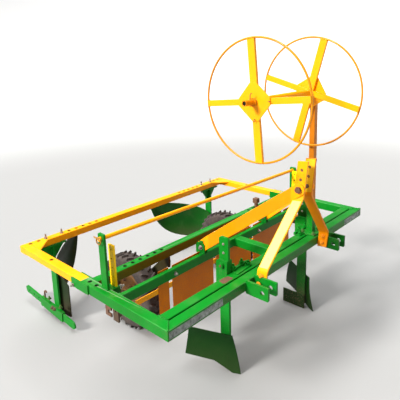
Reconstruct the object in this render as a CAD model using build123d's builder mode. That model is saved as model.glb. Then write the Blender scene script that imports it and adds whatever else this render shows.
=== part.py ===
"""Tractor-mounted mulch layer: a ridging, bed-shaping and film-laying frame on two press wheels.

Millimetres. +Z is up, -Y is forward (the tractor's side), +X is the machine's left-hand side.
The origin is on the ground, under the middle of the whole machine. Each paired piece is modelled
on the left-hand side and mirrored for the right.
"""

from build123d import *
from math import atan2, cos, degrees, hypot, radians, sin, sqrt
import os

os.makedirs("parts", exist_ok=True)

# Main frame: a rectangle of square tube. Each "reach" is a distance behind the toolbar's front face.
frame_width = 1750
frame_height = 530
tube = 50
tube_wall = 4
toolbar_slot = 8
mid_member_reach = 345
mid_member_depth = 25
rear_tube_reach = 535
side_tube_reach = 604
bolt_hole_radius = 6.5
bolt_hole_sides = 8
hole_spacing = 50
rear_tube_hole_count = 6
rear_tube_hole_inset = 356
side_tube_hole_reaches = (508, 563)
cut_overrun = 5

# Rear frame: flat tubes spliced to the side tubes, with a beam across.
rear_beam_reach = 1176
rear_tube_height = 40
gusset_leg = 95
gusset_plate = 8
beam_hole_count = 5
beam_hole_inset = 400
beam_end_hole_inset = 76
side_bar_hole_reach = 918
splice_plate = 6
splice_front_reach = 539
splice_rear_reach = 681
splice_corner_radius = 7

# Category 1 hitch: two lower clevises and a mast between them.
lower_pin_half_spacing = 341.5
lug_half_gap = 27
lug_plate = 12
lug_end = 33
lug_corner_radius = 6
lower_pin_reach = 92
lower_pin_drop = 26
lower_bore_radius = 11.2
mast_bar_width = 56
mast_bar_thickness = 10
mast_lean = 6.2
mast_bend_radius = 30
mast_foot_reach = 34
mast_foot_drop = 56
mast_foot_top = 37
mast_half_gap = 33
mast_neck_height = 296
mast_top_height = 519
mast_top_corner = 5
top_link_heights = (426, 475)
top_link_bore_radius = 9.65
mast_pin_height = 376
mast_pin_radius = 10
mast_pin_clearance = 0.1
mast_pin_head = 14
mast_pin_head_radius = 17

# Back stays: flat bars on edge from the mast pin down to brackets on the mid member.
stay_height = 60
stay_thickness = 8
stay_tab = 45
stay_foot_tab = 42
stay_bend_radius = 20
stay_foot_offset = 285
stay_foot_height = 42
stay_bracket_thickness = 6
stay_bracket_height = 72

# Drip-line reel: two wire wheels on a hub tube that turns on a fixed spindle.
reel_post_offset = 315
reel_post_side = 32
reel_post_wall = 3
reel_post_rise = 55
post_foot_width = 90
post_foot_thickness = 8
reel_axis_reach = 54
reel_axis_height = 815
reel_radius = 291
reel_wire_radius = 5
reel_wire_sides = 8
reel_upright_spoke = 39
reel_level_spoke = 30
reel_spoke_thickness = 15
reel_hub_plate = 148
reel_hub_corner = 24
reel_hub_thickness = 6
reel_near_disc = -225
reel_far_disc = 266
reel_near_turn = -4.7
reel_far_turn = 15.5
reel_spindle_radius = 13.5
reel_spindle_bore = 10
reel_spindle_end = -311
reel_tube_wall = 4
reel_running_clearance = 0.08
reel_tube_overhang = 16
reel_collar_width = 5
reel_collar_radius = 20
reel_side_gap = 6
weld_gap = 0.1

# Film guide rod across the frame, in two uprights of different heights.
guide_upright_width = 45
guide_upright_thickness = 12
guide_upright_inset = 13
guide_rod_radius = 7
guide_rod_clearance = 1
guide_rod_overhang = 18
# Columns: side (+1 left, -1 right), height of the upright, its reach, height of the rod's hole.
guide_uprights = ((1, 212, 492, 192), (-1, 268, 452, 246))

# Depth bars with the film-roll cones, in clamps on the side tubes.
depth_bar_width = 40
depth_bar_thickness = 10
depth_bar_gap = 28
depth_bar_reach = 450
depth_bar_height = 200
depth_bar_drop = 190
depth_hole_radius = 5
depth_hole_spacing = 45
depth_hole_count = 8
depth_clamp_height = 44
depth_clamp_wall = 8
cone_radius = 24
cone_tip_radius = 14
cone_length = 60
cone_height = 150
film_hook_width = 42
film_hook_reach = 391
film_hook_drop = 46
film_hook_thickness = 8

# Bed shaper: sheet panels behind the mid member, on a rail.
panel_sheet = 3
panel_drop = 300
panel_rise = 8
centre_panel_half_width = 162
panel_slit = 24
inner_panel_width = 312
outer_panel_width = 70
rail_height = 27
rail_drop = 83
rail_thickness = 6
rail_half_length = 732

# Front ridging bodies on shanks behind the toolbar.
front_shank_offset = 365
front_shank_thickness = 15
front_shank_width = 58
front_shank_height = 180
front_shank_drop = 500
socket_wall = 12
socket_rise = 20
socket_drop = 62
front_wing_angle = 26.6
front_wing_start_reach = 85
front_wing_sheet = 6
front_wing_hollow = 12
front_wing_stand_off = 16.6
front_wing_length = 223
front_wing_tail = 250
front_wing_top = 306
front_wing_nose_drop = 325
front_wing_tail_drop = 470
front_point_length = 96
front_point_drop = 482
front_point_toe = 42
front_sole_length = 148
front_sole_height = 90
front_sole_thickness = 8

# Rear covering bodies on shanks under the rear beam.
rear_shank_inset = 175
rear_shank_thickness = 12
rear_shank_width = 58
rear_shank_reach = 1197
rear_head_width = 165
rear_head_plate = 10
rear_head_drop = 95
rear_wing_angle = 61.3
rear_wing_sheet = 6
rear_wing_hollow = 40
# Columns: distance along the wing from its shank, depth below the frame's top.
rear_wing_outline = (
    (0, 480),
    (0, 227),
    (75, 191),
    (177, 162),
    (330, 128),
    (448, 122),
    (413, 220),
    (387, 274),
    (337, 351),
    (255, 412),
    (150, 440),
)
foot_bar_height = 48
foot_bar_thickness = 10
foot_bar_front_reach = 980
foot_bar_rear_reach = 1566
foot_bar_front_drop = 494
foot_bar_rear_drop = 454
foot_hole_radius = 6
foot_hole_count = 4
foot_hole_spacing = 60
foot_sleeve_wall = 6
foot_sleeve_length = 255
foot_sleeve_shift = 38

# Press wheels on trailing arms under the rear cross tube.
wheel_offset = 437
wheel_reach = 790
wheel_radius = 225
tyre_width = 100
tyre_shoulder = 12
tyre_lug_count = 18
tyre_lug_length = 42
tyre_lug_width = 14
lug_height = 12
lug_slant = 28
lug_draft = 8
rim_radius = 127
rim_width = 80
rim_wall = 4
rim_flange = 10
bead_gap = 0.3
wheel_disc = 5
hub_radius = 24
hub_length = 110
axle_radius = 12.5
axle_clearance = 0.08
axle_collar_radius = 21
axle_end_gap = 0.5
axle_nut_width = 12
arm_thickness = 12
arm_width = 55
arm_gap = 20
arm_head_height = 60

# Places worked out from the sizes above.
front_reach = max(reel_radius - reel_axis_reach, lower_pin_reach + lug_end)
toolbar_y = (front_reach - foot_bar_rear_reach) / 2
frame_top = frame_height
frame_bottom = frame_top - tube
tube_z = frame_top - tube / 2
half_width = frame_width / 2
side_x = half_width - tube / 2
inner_x = half_width - tube
second_tube_y = toolbar_y + tube + toolbar_slot
toolbar_back = second_tube_y + tube


def behind(reach):
    """Place along Y of something that lies this far behind the toolbar's front face."""
    return toolbar_y + reach


def across(x, y, z):
    """Plane facing +X at a point, with its own x along Y and its own y up."""
    return Plane(origin=(x, y, z), x_dir=(0, 1, 0), z_dir=(1, 0, 0))


def rearward(x, y, z):
    """Plane facing +Y at a point, with its own y up."""
    return Plane(origin=(x, y, z), x_dir=(-1, 0, 0), z_dir=(0, 1, 0))


def tube_section(width, height, wall):
    """Rectangular tube's section, added to the sketch that is open."""
    Rectangle(width, height)
    Rectangle(width - 2 * wall, height - 2 * wall, mode=Mode.SUBTRACT)


def bolt_hole():
    """A bolt hole's outline, added to the sketch that is open."""
    RegularPolygon(bolt_hole_radius, bolt_hole_sides)


def keep(piece, name):
    """Label a finished piece and write its file."""
    piece.part.label = name
    export_step(piece.part, f"parts/{name}.step")


def keep_pair(piece, name):
    """Write a left-hand piece, then its mirror image for the right-hand side."""
    keep(piece, f"{name}_left")
    with BuildPart() as twin:
        mirror(piece.part, about=Plane.YZ)
    keep(twin, f"{name}_right")


# Toolbar front tube, mitred into the side tubes
with BuildPart() as toolbar_front:
    with BuildSketch(across(-half_width, toolbar_y + tube / 2, tube_z)):
        tube_section(tube, tube, tube_wall)
    extrude(amount=frame_width)
    with BuildSketch(Plane.XY.offset(frame_bottom - cut_overrun)):
        for side in (-1, 1):
            Polygon(
                (side * half_width, toolbar_y),
                (side * half_width, toolbar_y + tube),
                (side * inner_x, toolbar_y + tube),
                align=None,
            )
    extrude(amount=tube + 2 * cut_overrun, mode=Mode.SUBTRACT)
keep(toolbar_front, "toolbar_front_tube")

# Toolbar rear tube, a slot behind the front one, between the side tubes
with BuildPart() as toolbar_rear:
    with BuildSketch(across(-inner_x, second_tube_y + tube / 2, tube_z)):
        tube_section(tube, tube, tube_wall)
    extrude(amount=2 * inner_x)
keep(toolbar_rear, "toolbar_rear_tube")

# Side tubes
with BuildPart() as side_tube:
    with BuildSketch(rearward(side_x, toolbar_y, tube_z)):
        tube_section(tube, tube, tube_wall)
    extrude(amount=side_tube_reach)
    with BuildSketch(Plane.XY.offset(frame_bottom - cut_overrun)):
        Polygon(
            (half_width, toolbar_y),
            (inner_x, toolbar_y),
            (inner_x, toolbar_y + tube),
            align=None,
        )
    extrude(amount=tube + 2 * cut_overrun, mode=Mode.SUBTRACT)
    with BuildSketch(Plane.XY.offset(frame_top)):
        with Locations(*[(side_x, behind(reach)) for reach in side_tube_hole_reaches]):
            bolt_hole()
    extrude(amount=-tube, mode=Mode.SUBTRACT)
keep_pair(side_tube, "side_tube")

# Mid member, rear cross tube and the tie between the toolbar and the mid member
with BuildPart() as mid_member:
    with BuildSketch(across(-inner_x, behind(mid_member_reach) + mid_member_depth / 2, tube_z)):
        tube_section(mid_member_depth, tube, tube_wall)
    extrude(amount=2 * inner_x)
keep(mid_member, "mid_cross_member")

with BuildPart() as rear_cross:
    with BuildSketch(across(-inner_x, behind(rear_tube_reach) + tube / 2, tube_z)):
        tube_section(tube, tube, tube_wall)
    extrude(amount=2 * inner_x)
    with BuildSketch(Plane.XY.offset(frame_top)):
        hole_row_x = half_width - rear_tube_hole_inset
        with Locations(*[(s * hole_row_x, behind(rear_tube_reach) + tube / 2) for s in (-1, 1)]):
            with GridLocations(hole_spacing, hole_spacing, rear_tube_hole_count, 1):
                bolt_hole()
    extrude(amount=-tube, mode=Mode.SUBTRACT)
keep(rear_cross, "rear_cross_tube")

tie_length = behind(mid_member_reach) - toolbar_back
with BuildPart() as centre_tie:
    with BuildSketch(rearward(0, toolbar_back, tube_z)):
        tube_section(tube, tube, tube_wall)
    extrude(amount=tie_length)
keep(centre_tie, "centre_tie_tube")

# Splice plates, inside and outside the joint of each side tube and rear bar
splice_length = splice_rear_reach - splice_front_reach
splice_inner_y = behind(rear_tube_reach) + tube
with BuildPart() as splice:
    with BuildSketch(Plane.XY.offset(frame_bottom)):
        with Locations(
            (half_width + splice_plate / 2, behind(splice_front_reach) + splice_length / 2)
        ):
            Rectangle(splice_plate, splice_length)
        with Locations((inner_x - splice_plate / 2, (splice_inner_y + behind(splice_rear_reach)) / 2)):
            Rectangle(splice_plate, behind(splice_rear_reach) - splice_inner_y)
    extrude(amount=tube)
    fillet(splice.edges().filter_by(Axis.X).group_by(Axis.Y)[-1], radius=splice_corner_radius)
keep_pair(splice, "side_splice")

# Rear frame: side bars and a beam with gussets in its corners
rear_tube_z = frame_top - rear_tube_height / 2
side_bar_length = rear_beam_reach - side_tube_reach
with BuildPart() as rear_bar:
    with BuildSketch(rearward(side_x, behind(side_tube_reach), rear_tube_z)):
        tube_section(tube, rear_tube_height, tube_wall)
    extrude(amount=side_bar_length)
    with BuildSketch(Plane.XY.offset(frame_top)):
        with Locations((side_x, behind(side_bar_hole_reach))):
            bolt_hole()
    extrude(amount=-rear_tube_height, mode=Mode.SUBTRACT)
keep_pair(rear_bar, "rear_side_bar")

beam_y = behind(rear_beam_reach) + tube / 2
with BuildPart() as rear_beam:
    with BuildSketch(across(-half_width, beam_y, rear_tube_z)):
        tube_section(tube, rear_tube_height, tube_wall)
    extrude(amount=frame_width)
    with BuildSketch(Plane.XY.offset(frame_top)):
        for inset, count in ((beam_hole_inset, beam_hole_count), (beam_end_hole_inset, 2)):
            with Locations(*[(s * (half_width - inset), beam_y) for s in (-1, 1)]):
                with GridLocations(hole_spacing, hole_spacing, count, 1):
                    bolt_hole()
    extrude(amount=-rear_tube_height, mode=Mode.SUBTRACT)
    with BuildSketch(Plane.XY.offset(frame_top - gusset_plate)):
        for s in (-1, 1):
            Polygon(
                (s * inner_x, behind(rear_beam_reach)),
                (s * (inner_x - gusset_leg), behind(rear_beam_reach)),
                (s * inner_x, behind(rear_beam_reach) - gusset_leg),
                align=None,
            )
    extrude(amount=gusset_plate)
keep(rear_beam, "rear_beam")

# Lower hitch clevises: two lugs a side, welded to the toolbar's front face
pin_y = toolbar_y - lower_pin_reach
pin_z = frame_top - lower_pin_drop
with BuildPart() as lugs:
    for inboard in (-1, 1):
        plate_x = lower_pin_half_spacing + inboard * (lug_half_gap + lug_plate / 2)
        with BuildSketch(across(plate_x - lug_plate / 2, 0, 0)) as lug_face:
            with Locations(((toolbar_y + pin_y - lug_end) / 2, pin_z)):
                Rectangle(lower_pin_reach + lug_end, 2 * lug_end)
            fillet(lug_face.vertices().group_by(Axis.Y)[0], radius=lug_corner_radius)
            with Locations((pin_y, pin_z)):
                Circle(lower_bore_radius, mode=Mode.SUBTRACT)
        extrude(amount=lug_plate)
keep_pair(lugs, "lower_hitch_lugs")

# Mast bars: flat bars bolted inside the lugs, bent in to a narrow mast, in a plane that leans forward
mast_foot_x = lower_pin_half_spacing - lug_half_gap - lug_plate
lean = radians(mast_lean)
mast_y = toolbar_y - mast_foot_reach
mast_plane = Plane(origin=(0, mast_y, frame_top), x_dir=(1, 0, 0), z_dir=(0, -cos(lean), -sin(lean)))


def on_mast(height):
    """Point (y, z) on the mast's leaning centre line at a height above the frame's top."""
    rise = height / cos(lean)
    return mast_y - rise * sin(lean), frame_top + height


mast_pin_y, mast_pin_z = on_mast(mast_pin_height)
with BuildPart() as mast_bar:
    with BuildSketch(mast_plane):
        with BuildLine():
            FilletPolyline(
                (mast_foot_x, -mast_foot_drop),
                (mast_foot_x, mast_foot_top),
                (mast_half_gap + mast_bar_thickness, mast_neck_height),
                (mast_half_gap + mast_bar_thickness, mast_top_height),
                radius=mast_bend_radius,
            )
            offset(amount=mast_bar_thickness, side=Side.LEFT)
        make_face()
    extrude(amount=mast_bar_width / 2, both=True)
    fillet(
        mast_bar.edges().filter_by(Axis.X).group_by(Axis.Z)[-1],
        radius=mast_top_corner,
    )
    for height in top_link_heights:
        link_y, link_z = on_mast(height)
        with BuildSketch(across(0, link_y, link_z)):
            Circle(top_link_bore_radius)
        extrude(amount=mast_half_gap + 2 * mast_bar_thickness, mode=Mode.SUBTRACT)
    with BuildSketch(across(0, mast_pin_y, mast_pin_z)):
        Circle(mast_pin_radius + mast_pin_clearance)
    extrude(amount=mast_half_gap + 2 * mast_bar_thickness, mode=Mode.SUBTRACT)
keep_pair(mast_bar, "mast_bar")

# Mast pin, through the mast bars and the stays' upper ends
mast_pin_half = mast_half_gap + mast_bar_thickness + stay_thickness
with BuildPart() as mast_pin:
    with BuildSketch(across(0, mast_pin_y, mast_pin_z)):
        Circle(mast_pin_radius)
    extrude(amount=mast_pin_half, both=True)
    for s in (-1, 1):
        with BuildSketch(across(s * (mast_pin_half + mast_pin_head / 2), mast_pin_y, mast_pin_z)):
            RegularPolygon(mast_pin_head_radius, 6)
        extrude(amount=mast_pin_head / 2, both=True)
keep(mast_pin, "mast_pin")

# Back stays: the bent plan cut to a sloping strip with round ends
stay_inner_x = mast_half_gap + mast_bar_thickness
stay_foot_inner_x = stay_foot_offset - stay_thickness / 2
stay_foot_y = behind(mid_member_reach) + mid_member_depth / 2
stay_foot_z = frame_top + stay_foot_height
stay_run = stay_foot_y - mast_pin_y
stay_fall = mast_pin_z - stay_foot_z
stay_middle = ((mast_pin_y + stay_foot_y) / 2, (mast_pin_z + stay_foot_z) / 2)
with BuildPart() as stay:
    with BuildSketch(Plane.XY.offset(frame_top)):
        with BuildLine():
            FilletPolyline(
                (stay_inner_x, mast_pin_y - stay_height),
                (stay_inner_x, mast_pin_y + stay_tab),
                (stay_foot_inner_x, stay_foot_y - stay_foot_tab),
                (stay_foot_inner_x, stay_foot_y + stay_height),
                radius=stay_bend_radius,
            )
            offset(amount=stay_thickness, side=Side.RIGHT)
        make_face()
    extrude(amount=mast_pin_height + stay_height)
    with BuildSketch(across(0, *stay_middle)):
        SlotCenterToCenter(
            hypot(stay_run, stay_fall), stay_height, rotation=-degrees(atan2(stay_fall, stay_run))
        )
    extrude(amount=half_width, mode=Mode.INTERSECT)
    with BuildSketch(across(0, mast_pin_y, mast_pin_z)):
        Circle(mast_pin_radius + mast_pin_clearance)
    extrude(amount=half_width, mode=Mode.SUBTRACT)
keep_pair(stay, "back_stay")

# Stay brackets: upright channels on the mid member, one round each stay's foot
bracket_half = stay_thickness / 2 + stay_bracket_thickness
with BuildPart() as bracket:
    with BuildSketch(rearward(stay_foot_offset, stay_foot_y - mid_member_depth / 2, frame_top)):
        with Locations((0, stay_bracket_height / 2)):
            Rectangle(2 * bracket_half, stay_bracket_height)
        with Locations((0, stay_bracket_thickness + stay_bracket_height / 2)):
            Rectangle(stay_thickness, stay_bracket_height, mode=Mode.SUBTRACT)
    extrude(amount=mid_member_depth)
    mirror(about=Plane.YZ)
keep(bracket, "stay_brackets")

# Reel post on the toolbar, over the slot
reel_y = behind(reel_axis_reach)
reel_z = frame_top + reel_axis_height
with BuildPart() as post:
    with BuildSketch(Plane.XY.offset(frame_top)):
        with Locations((reel_post_offset, reel_y)):
            Rectangle(post_foot_width, post_foot_width)
    extrude(amount=post_foot_thickness)
    with BuildSketch(Plane.XY.offset(frame_top + post_foot_thickness)):
        with Locations((reel_post_offset, reel_y)):
            tube_section(reel_post_side, reel_post_side, reel_post_wall)
    extrude(amount=reel_axis_height + reel_post_rise - post_foot_thickness)
keep(post, "reel_post")

# Fixed spindle, welded to the post's inner face, with a stop collar outside the reel
reel_tube_far = reel_far_disc + reel_tube_overhang
reel_tube_near = reel_near_disc - reel_tube_overhang
spindle_length = reel_post_offset - reel_post_side / 2 - reel_spindle_end
with BuildPart() as spindle:
    with BuildSketch(across(reel_spindle_end, reel_y, reel_z)):
        Circle(reel_spindle_radius)
        Circle(reel_spindle_bore, mode=Mode.SUBTRACT)
    extrude(amount=spindle_length)
    with BuildSketch(across(reel_tube_near - reel_side_gap - reel_collar_width, reel_y, reel_z)):
        Circle(reel_collar_radius)
        Circle(reel_spindle_radius, mode=Mode.SUBTRACT)
    extrude(amount=reel_collar_width)
keep(spindle, "reel_spindle")

# Reel tube that turns on the spindle
reel_tube_bore = reel_spindle_radius + reel_running_clearance
reel_tube_radius = reel_tube_bore + reel_tube_wall
with BuildPart() as reel_tube:
    with BuildSketch(across(reel_tube_near, reel_y, reel_z)):
        Circle(reel_tube_radius)
        Circle(reel_tube_bore, mode=Mode.SUBTRACT)
    extrude(amount=reel_tube_far - reel_tube_near)
keep(reel_tube, "reel_tube")

wire_centre_radius = reel_radius - reel_wire_radius

# Reel discs: a wire ring, two pairs of bar spokes and a square hub plate with its corners cut
# Columns: name, place along X, turn about the axle, side that its hub plate is on
reel_discs = (
    ("near", reel_near_disc, reel_near_turn, -1),
    ("far", reel_far_disc, reel_far_turn, 1),
)
spoke_span = 2 * wire_centre_radius - reel_wire_radius
for name, disc_x, turn, outward in reel_discs:
    disc_plane = Plane(
        origin=(disc_x, reel_y, reel_z),
        x_dir=(0, cos(radians(turn)), sin(radians(turn))),
        z_dir=(1, 0, 0),
    )
    with BuildPart() as disc:
        with BuildSketch(disc_plane):
            Rectangle(spoke_span, reel_level_spoke)
            Rectangle(reel_upright_spoke, spoke_span)
        extrude(amount=reel_spoke_thickness / 2, both=True)
        with BuildSketch(disc_plane.offset(outward * reel_spoke_thickness / 2)) as hub_plate:
            Rectangle(reel_hub_plate, reel_hub_plate, rotation=45)
            chamfer(hub_plate.vertices(), length=reel_hub_corner)
        extrude(amount=outward * reel_hub_thickness)
        with BuildSketch(disc_plane):
            Circle(reel_tube_radius + weld_gap)
        extrude(amount=reel_spoke_thickness + reel_hub_thickness, both=True, mode=Mode.SUBTRACT)
        ring_plane = Plane(origin=disc_plane.origin, x_dir=disc_plane.x_dir, z_dir=disc_plane.y_dir)
        with BuildSketch(ring_plane):
            with Locations((wire_centre_radius, 0)):
                RegularPolygon(reel_wire_radius, reel_wire_sides)
        revolve(axis=Axis(disc_plane.origin, disc_plane.z_dir))
    keep(disc, f"reel_disc_{name}")

# Guide rod uprights on the side tubes, round-headed
guide_upright_x = inner_x + guide_upright_inset
with BuildPart() as uprights:
    for s, height, reach, rod_height in guide_uprights:
        with BuildSketch(across(s * guide_upright_x - guide_upright_thickness / 2, 0, 0)):
            with Locations((behind(reach), frame_top + height / 2)):
                Rectangle(guide_upright_width, height)
            with Locations((behind(reach), frame_top + rod_height)):
                Circle(guide_rod_radius + guide_rod_clearance, mode=Mode.SUBTRACT)
        extrude(amount=guide_upright_thickness)
    fillet(uprights.edges().filter_by(Axis.X).filter_by_position(
        Axis.Z, frame_top + guide_rod_radius, frame_top + frame_height), radius=guide_rod_radius)
keep(uprights, "guide_rod_uprights")

# Guide rod from one upright to the other, through both
rod_ends = [
    Vector(s * (guide_upright_x + guide_rod_overhang), behind(reach), frame_top + rod_height)
    for s, height, reach, rod_height in guide_uprights
]
rod_line = rod_ends[0] - rod_ends[1]
with BuildPart() as guide_rod:
    with BuildSketch(Plane(origin=rod_ends[1], x_dir=(0, 1, 0), z_dir=rod_line)):
        Circle(guide_rod_radius)
    extrude(amount=rod_line.length)
keep(guide_rod, "film_guide_rod")

# Depth bars, each with a film-roll cone at its lower end
depth_bar_x = inner_x - depth_bar_gap
with BuildPart() as depth_bars:
    with BuildSketch(across(depth_bar_x - depth_bar_thickness, 0, 0)):
        with Locations((behind(depth_bar_reach), frame_top + (depth_bar_height - depth_bar_drop) / 2)):
            Rectangle(depth_bar_width, depth_bar_height + depth_bar_drop)
        with Locations((behind(depth_bar_reach), frame_top + depth_bar_height - depth_hole_spacing / 2)):
            with Locations(*[(0, -index * depth_hole_spacing) for index in range(depth_hole_count)]):
                RegularPolygon(depth_hole_radius, bolt_hole_sides, mode=Mode.SUBTRACT)
    extrude(amount=depth_bar_thickness)
    cone_plane = across(depth_bar_x - depth_bar_thickness, behind(depth_bar_reach), frame_top - cone_height)
    with BuildSketch(cone_plane):
        Circle(cone_radius)
    with BuildSketch(cone_plane.offset(-cone_length)):
        Circle(cone_tip_radius)
    loft()
    mirror(about=Plane.YZ)
keep(depth_bars, "depth_bars")

# Clamps that hold the depth bars off the side tubes
with BuildPart() as depth_clamps:
    clamp_inner = depth_bar_x - depth_bar_thickness - depth_clamp_wall
    clamp_y = behind(depth_bar_reach)
    with BuildSketch(Plane.XY.offset(tube_z - depth_clamp_height / 2)):
        with Locations(((clamp_inner + inner_x) / 2, clamp_y)):
            Rectangle(inner_x - clamp_inner, depth_bar_width + 2 * depth_clamp_wall)
        with Locations((depth_bar_x - depth_bar_thickness / 2, clamp_y)):
            Rectangle(depth_bar_thickness, depth_bar_width, mode=Mode.SUBTRACT)
    extrude(amount=depth_clamp_height)
    mirror(about=Plane.YZ)
keep(depth_clamps, "depth_clamps")

# Film hooks under the side tubes
with BuildPart() as film_hooks:
    with BuildSketch(across(half_width - film_hook_thickness, 0, 0)):
        hook_y = behind(film_hook_reach)
        with Locations((hook_y, frame_bottom - film_hook_drop / 2)):
            Rectangle(film_hook_width, film_hook_drop)
        with Locations((hook_y - film_hook_width / 2, frame_bottom - film_hook_drop / 2)):
            Rectangle(film_hook_width, film_hook_drop / 3, mode=Mode.SUBTRACT)
    extrude(amount=film_hook_thickness)
    mirror(about=Plane.YZ)
keep(film_hooks, "film_hooks")

# Bed-shaping panels behind the mid member
panel_y = behind(mid_member_reach) + mid_member_depth
inner_panel_start = centre_panel_half_width + panel_slit
outer_panel_start = inner_panel_start + inner_panel_width + panel_slit
# Columns: middle of the panel along X, its width
panels = (
    (0, 2 * centre_panel_half_width),
    (inner_panel_start + inner_panel_width / 2, inner_panel_width),
    (outer_panel_start + outer_panel_width / 2, outer_panel_width),
)
with BuildPart() as shaper:
    with BuildSketch(rearward(0, panel_y, frame_top)):
        for middle, width in panels:
            for s in (-1, 1):
                with Locations((s * middle, (panel_rise - panel_drop) / 2)):
                    Rectangle(width, panel_rise + panel_drop)
    extrude(amount=panel_sheet)
keep(shaper, "bed_shaper_panels")

# Rail that carries the panels
with BuildPart() as rail:
    with BuildSketch(rearward(0, panel_y + panel_sheet, frame_top - rail_drop - rail_height / 2)):
        Rectangle(2 * rail_half_length, rail_height)
    extrude(amount=rail_thickness)
keep(rail, "shaper_rail")

# Front shanks and the sockets that hold them to the toolbar's rear face
front_shank_y = toolbar_back + front_shank_width / 2
with BuildPart() as front_shank:
    with BuildSketch(Plane.XY.offset(frame_top - front_shank_drop)):
        with Locations((front_shank_offset, front_shank_y)):
            Rectangle(front_shank_thickness, front_shank_width)
    extrude(amount=front_shank_drop + front_shank_height)
    fillet(front_shank.edges().filter_by(Axis.X).group_by(Axis.Z)[-1], radius=front_shank_thickness)
keep_pair(front_shank, "front_shank")

with BuildPart() as sockets:
    with BuildSketch(Plane.XY.offset(frame_top - socket_drop)):
        with Locations((front_shank_offset, front_shank_y + socket_wall / 2)):
            Rectangle(front_shank_thickness + 2 * socket_wall, front_shank_width + socket_wall)
        with Locations((front_shank_offset, front_shank_y)):
            Rectangle(front_shank_thickness, front_shank_width, mode=Mode.SUBTRACT)
    extrude(amount=socket_drop + socket_rise)
    mirror(about=Plane.YZ)
keep(sockets, "front_shank_sockets")


def wing_plane(x, y, angle):
    """Upright plane along a wing: its own x runs back and sideways, its own y is up."""
    along = (sin(radians(angle)), cos(radians(angle)), 0)
    return Plane(origin=(x, y, frame_top), x_dir=along, z_dir=(along[1], -along[0], 0))


def hollow_wing(wing, back, sheet, hollow, outline):
    """Sheet wing, hollow on its working face, cut to an outline of (distance along, drop) points.

    back is the side of the wing's plane, +1 or -1, that its hollow bulges to.
    """
    low = max(drop for along, drop in outline)
    high = min(drop for along, drop in outline)
    section = Plane(origin=wing.origin, x_dir=wing.z_dir * back, z_dir=wing.x_dir * -back)
    with BuildPart() as piece:
        with BuildSketch(section):
            with BuildLine():
                ThreePointArc((0, -high), (hollow, -(high + low) / 2), (0, -low))
                ThreePointArc((sheet, -high), (hollow + sheet, -(high + low) / 2), (sheet, -low))
                Line((0, -high), (sheet, -high))
                Line((0, -low), (sheet, -low))
            make_face()
        extrude(amount=2 * max(along for along, drop in outline), both=True)
        with BuildSketch(wing):
            Polygon(*[(along, -drop) for along, drop in outline], align=None)
        extrude(amount=frame_width, both=True, mode=Mode.INTERSECT)
    return piece


# Front ridging bodies: a hollow-faced wing whose point runs forward to the toe
# Columns: distance along the wing, depth below the frame's top.
front_wing_outline = (
    (0, front_wing_nose_drop),
    (front_wing_length, front_wing_top),
    (front_wing_tail, front_wing_tail_drop),
    (front_point_length, front_point_drop),
    (0, frame_height),
    (-front_point_toe, frame_height),
)
front_body = hollow_wing(
    wing_plane(
        front_shank_offset + front_wing_stand_off, behind(front_wing_start_reach), front_wing_angle
    ),
    -1,
    front_wing_sheet,
    front_wing_hollow,
    front_wing_outline,
)
keep_pair(front_body, "front_body")

with BuildPart() as soles:
    with BuildSketch(across(front_shank_offset - front_shank_thickness / 2 - front_sole_thickness, 0, 0)):
        with Locations((toolbar_back + front_sole_length / 2, front_sole_height / 2)):
            Rectangle(front_sole_length, front_sole_height)
    extrude(amount=front_sole_thickness)
    mirror(about=Plane.YZ)
keep(soles, "front_soles")

# Rear shanks: a head plate under the beam, a tapered web and a flat shank
rear_shank_offset = half_width - rear_shank_inset
rear_shank_y = behind(rear_shank_reach)
head_z = frame_top - rear_tube_height - rear_head_plate
with BuildPart() as rear_shank:
    with BuildSketch(Plane.XY.offset(head_z)):
        with Locations((rear_shank_offset, rear_shank_y)):
            Rectangle(rear_head_width, rear_shank_width)
    extrude(amount=rear_head_plate)
    with BuildSketch(rearward(rear_shank_offset, rear_shank_y - rear_shank_thickness / 2, head_z)):
        Polygon(
            (-rear_head_width / 2, 0),
            (-rear_shank_thickness / 2, -rear_head_drop),
            (rear_shank_thickness / 2, -rear_head_drop),
            (rear_head_width / 2, 0),
            align=None,
        )
    extrude(amount=rear_shank_thickness)
    with BuildSketch(Plane.XY.offset(frame_top - foot_bar_front_drop)):
        with Locations((rear_shank_offset, rear_shank_y)):
            Rectangle(rear_shank_thickness, rear_shank_width)
    extrude(amount=foot_bar_front_drop - rear_tube_height - rear_head_plate)
keep_pair(rear_shank, "rear_shank")

# Rear covering wings: hollow-faced sheets that sweep in behind the wheels
rear_wing_depth = rear_wing_hollow + rear_wing_sheet
rear_wing_x = (
    rear_shank_offset - rear_shank_thickness / 2 - rear_wing_depth * cos(radians(rear_wing_angle))
)
rear_wing_y = (
    rear_shank_y
    + rear_shank_width / 2
    - rear_wing_sheet
    - rear_wing_depth * sin(radians(rear_wing_angle))
)
rear_body = hollow_wing(
    wing_plane(rear_wing_x, rear_wing_y, -rear_wing_angle),
    1,
    rear_wing_sheet,
    rear_wing_hollow,
    rear_wing_outline,
)
keep_pair(rear_body, "rear_body")

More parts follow.
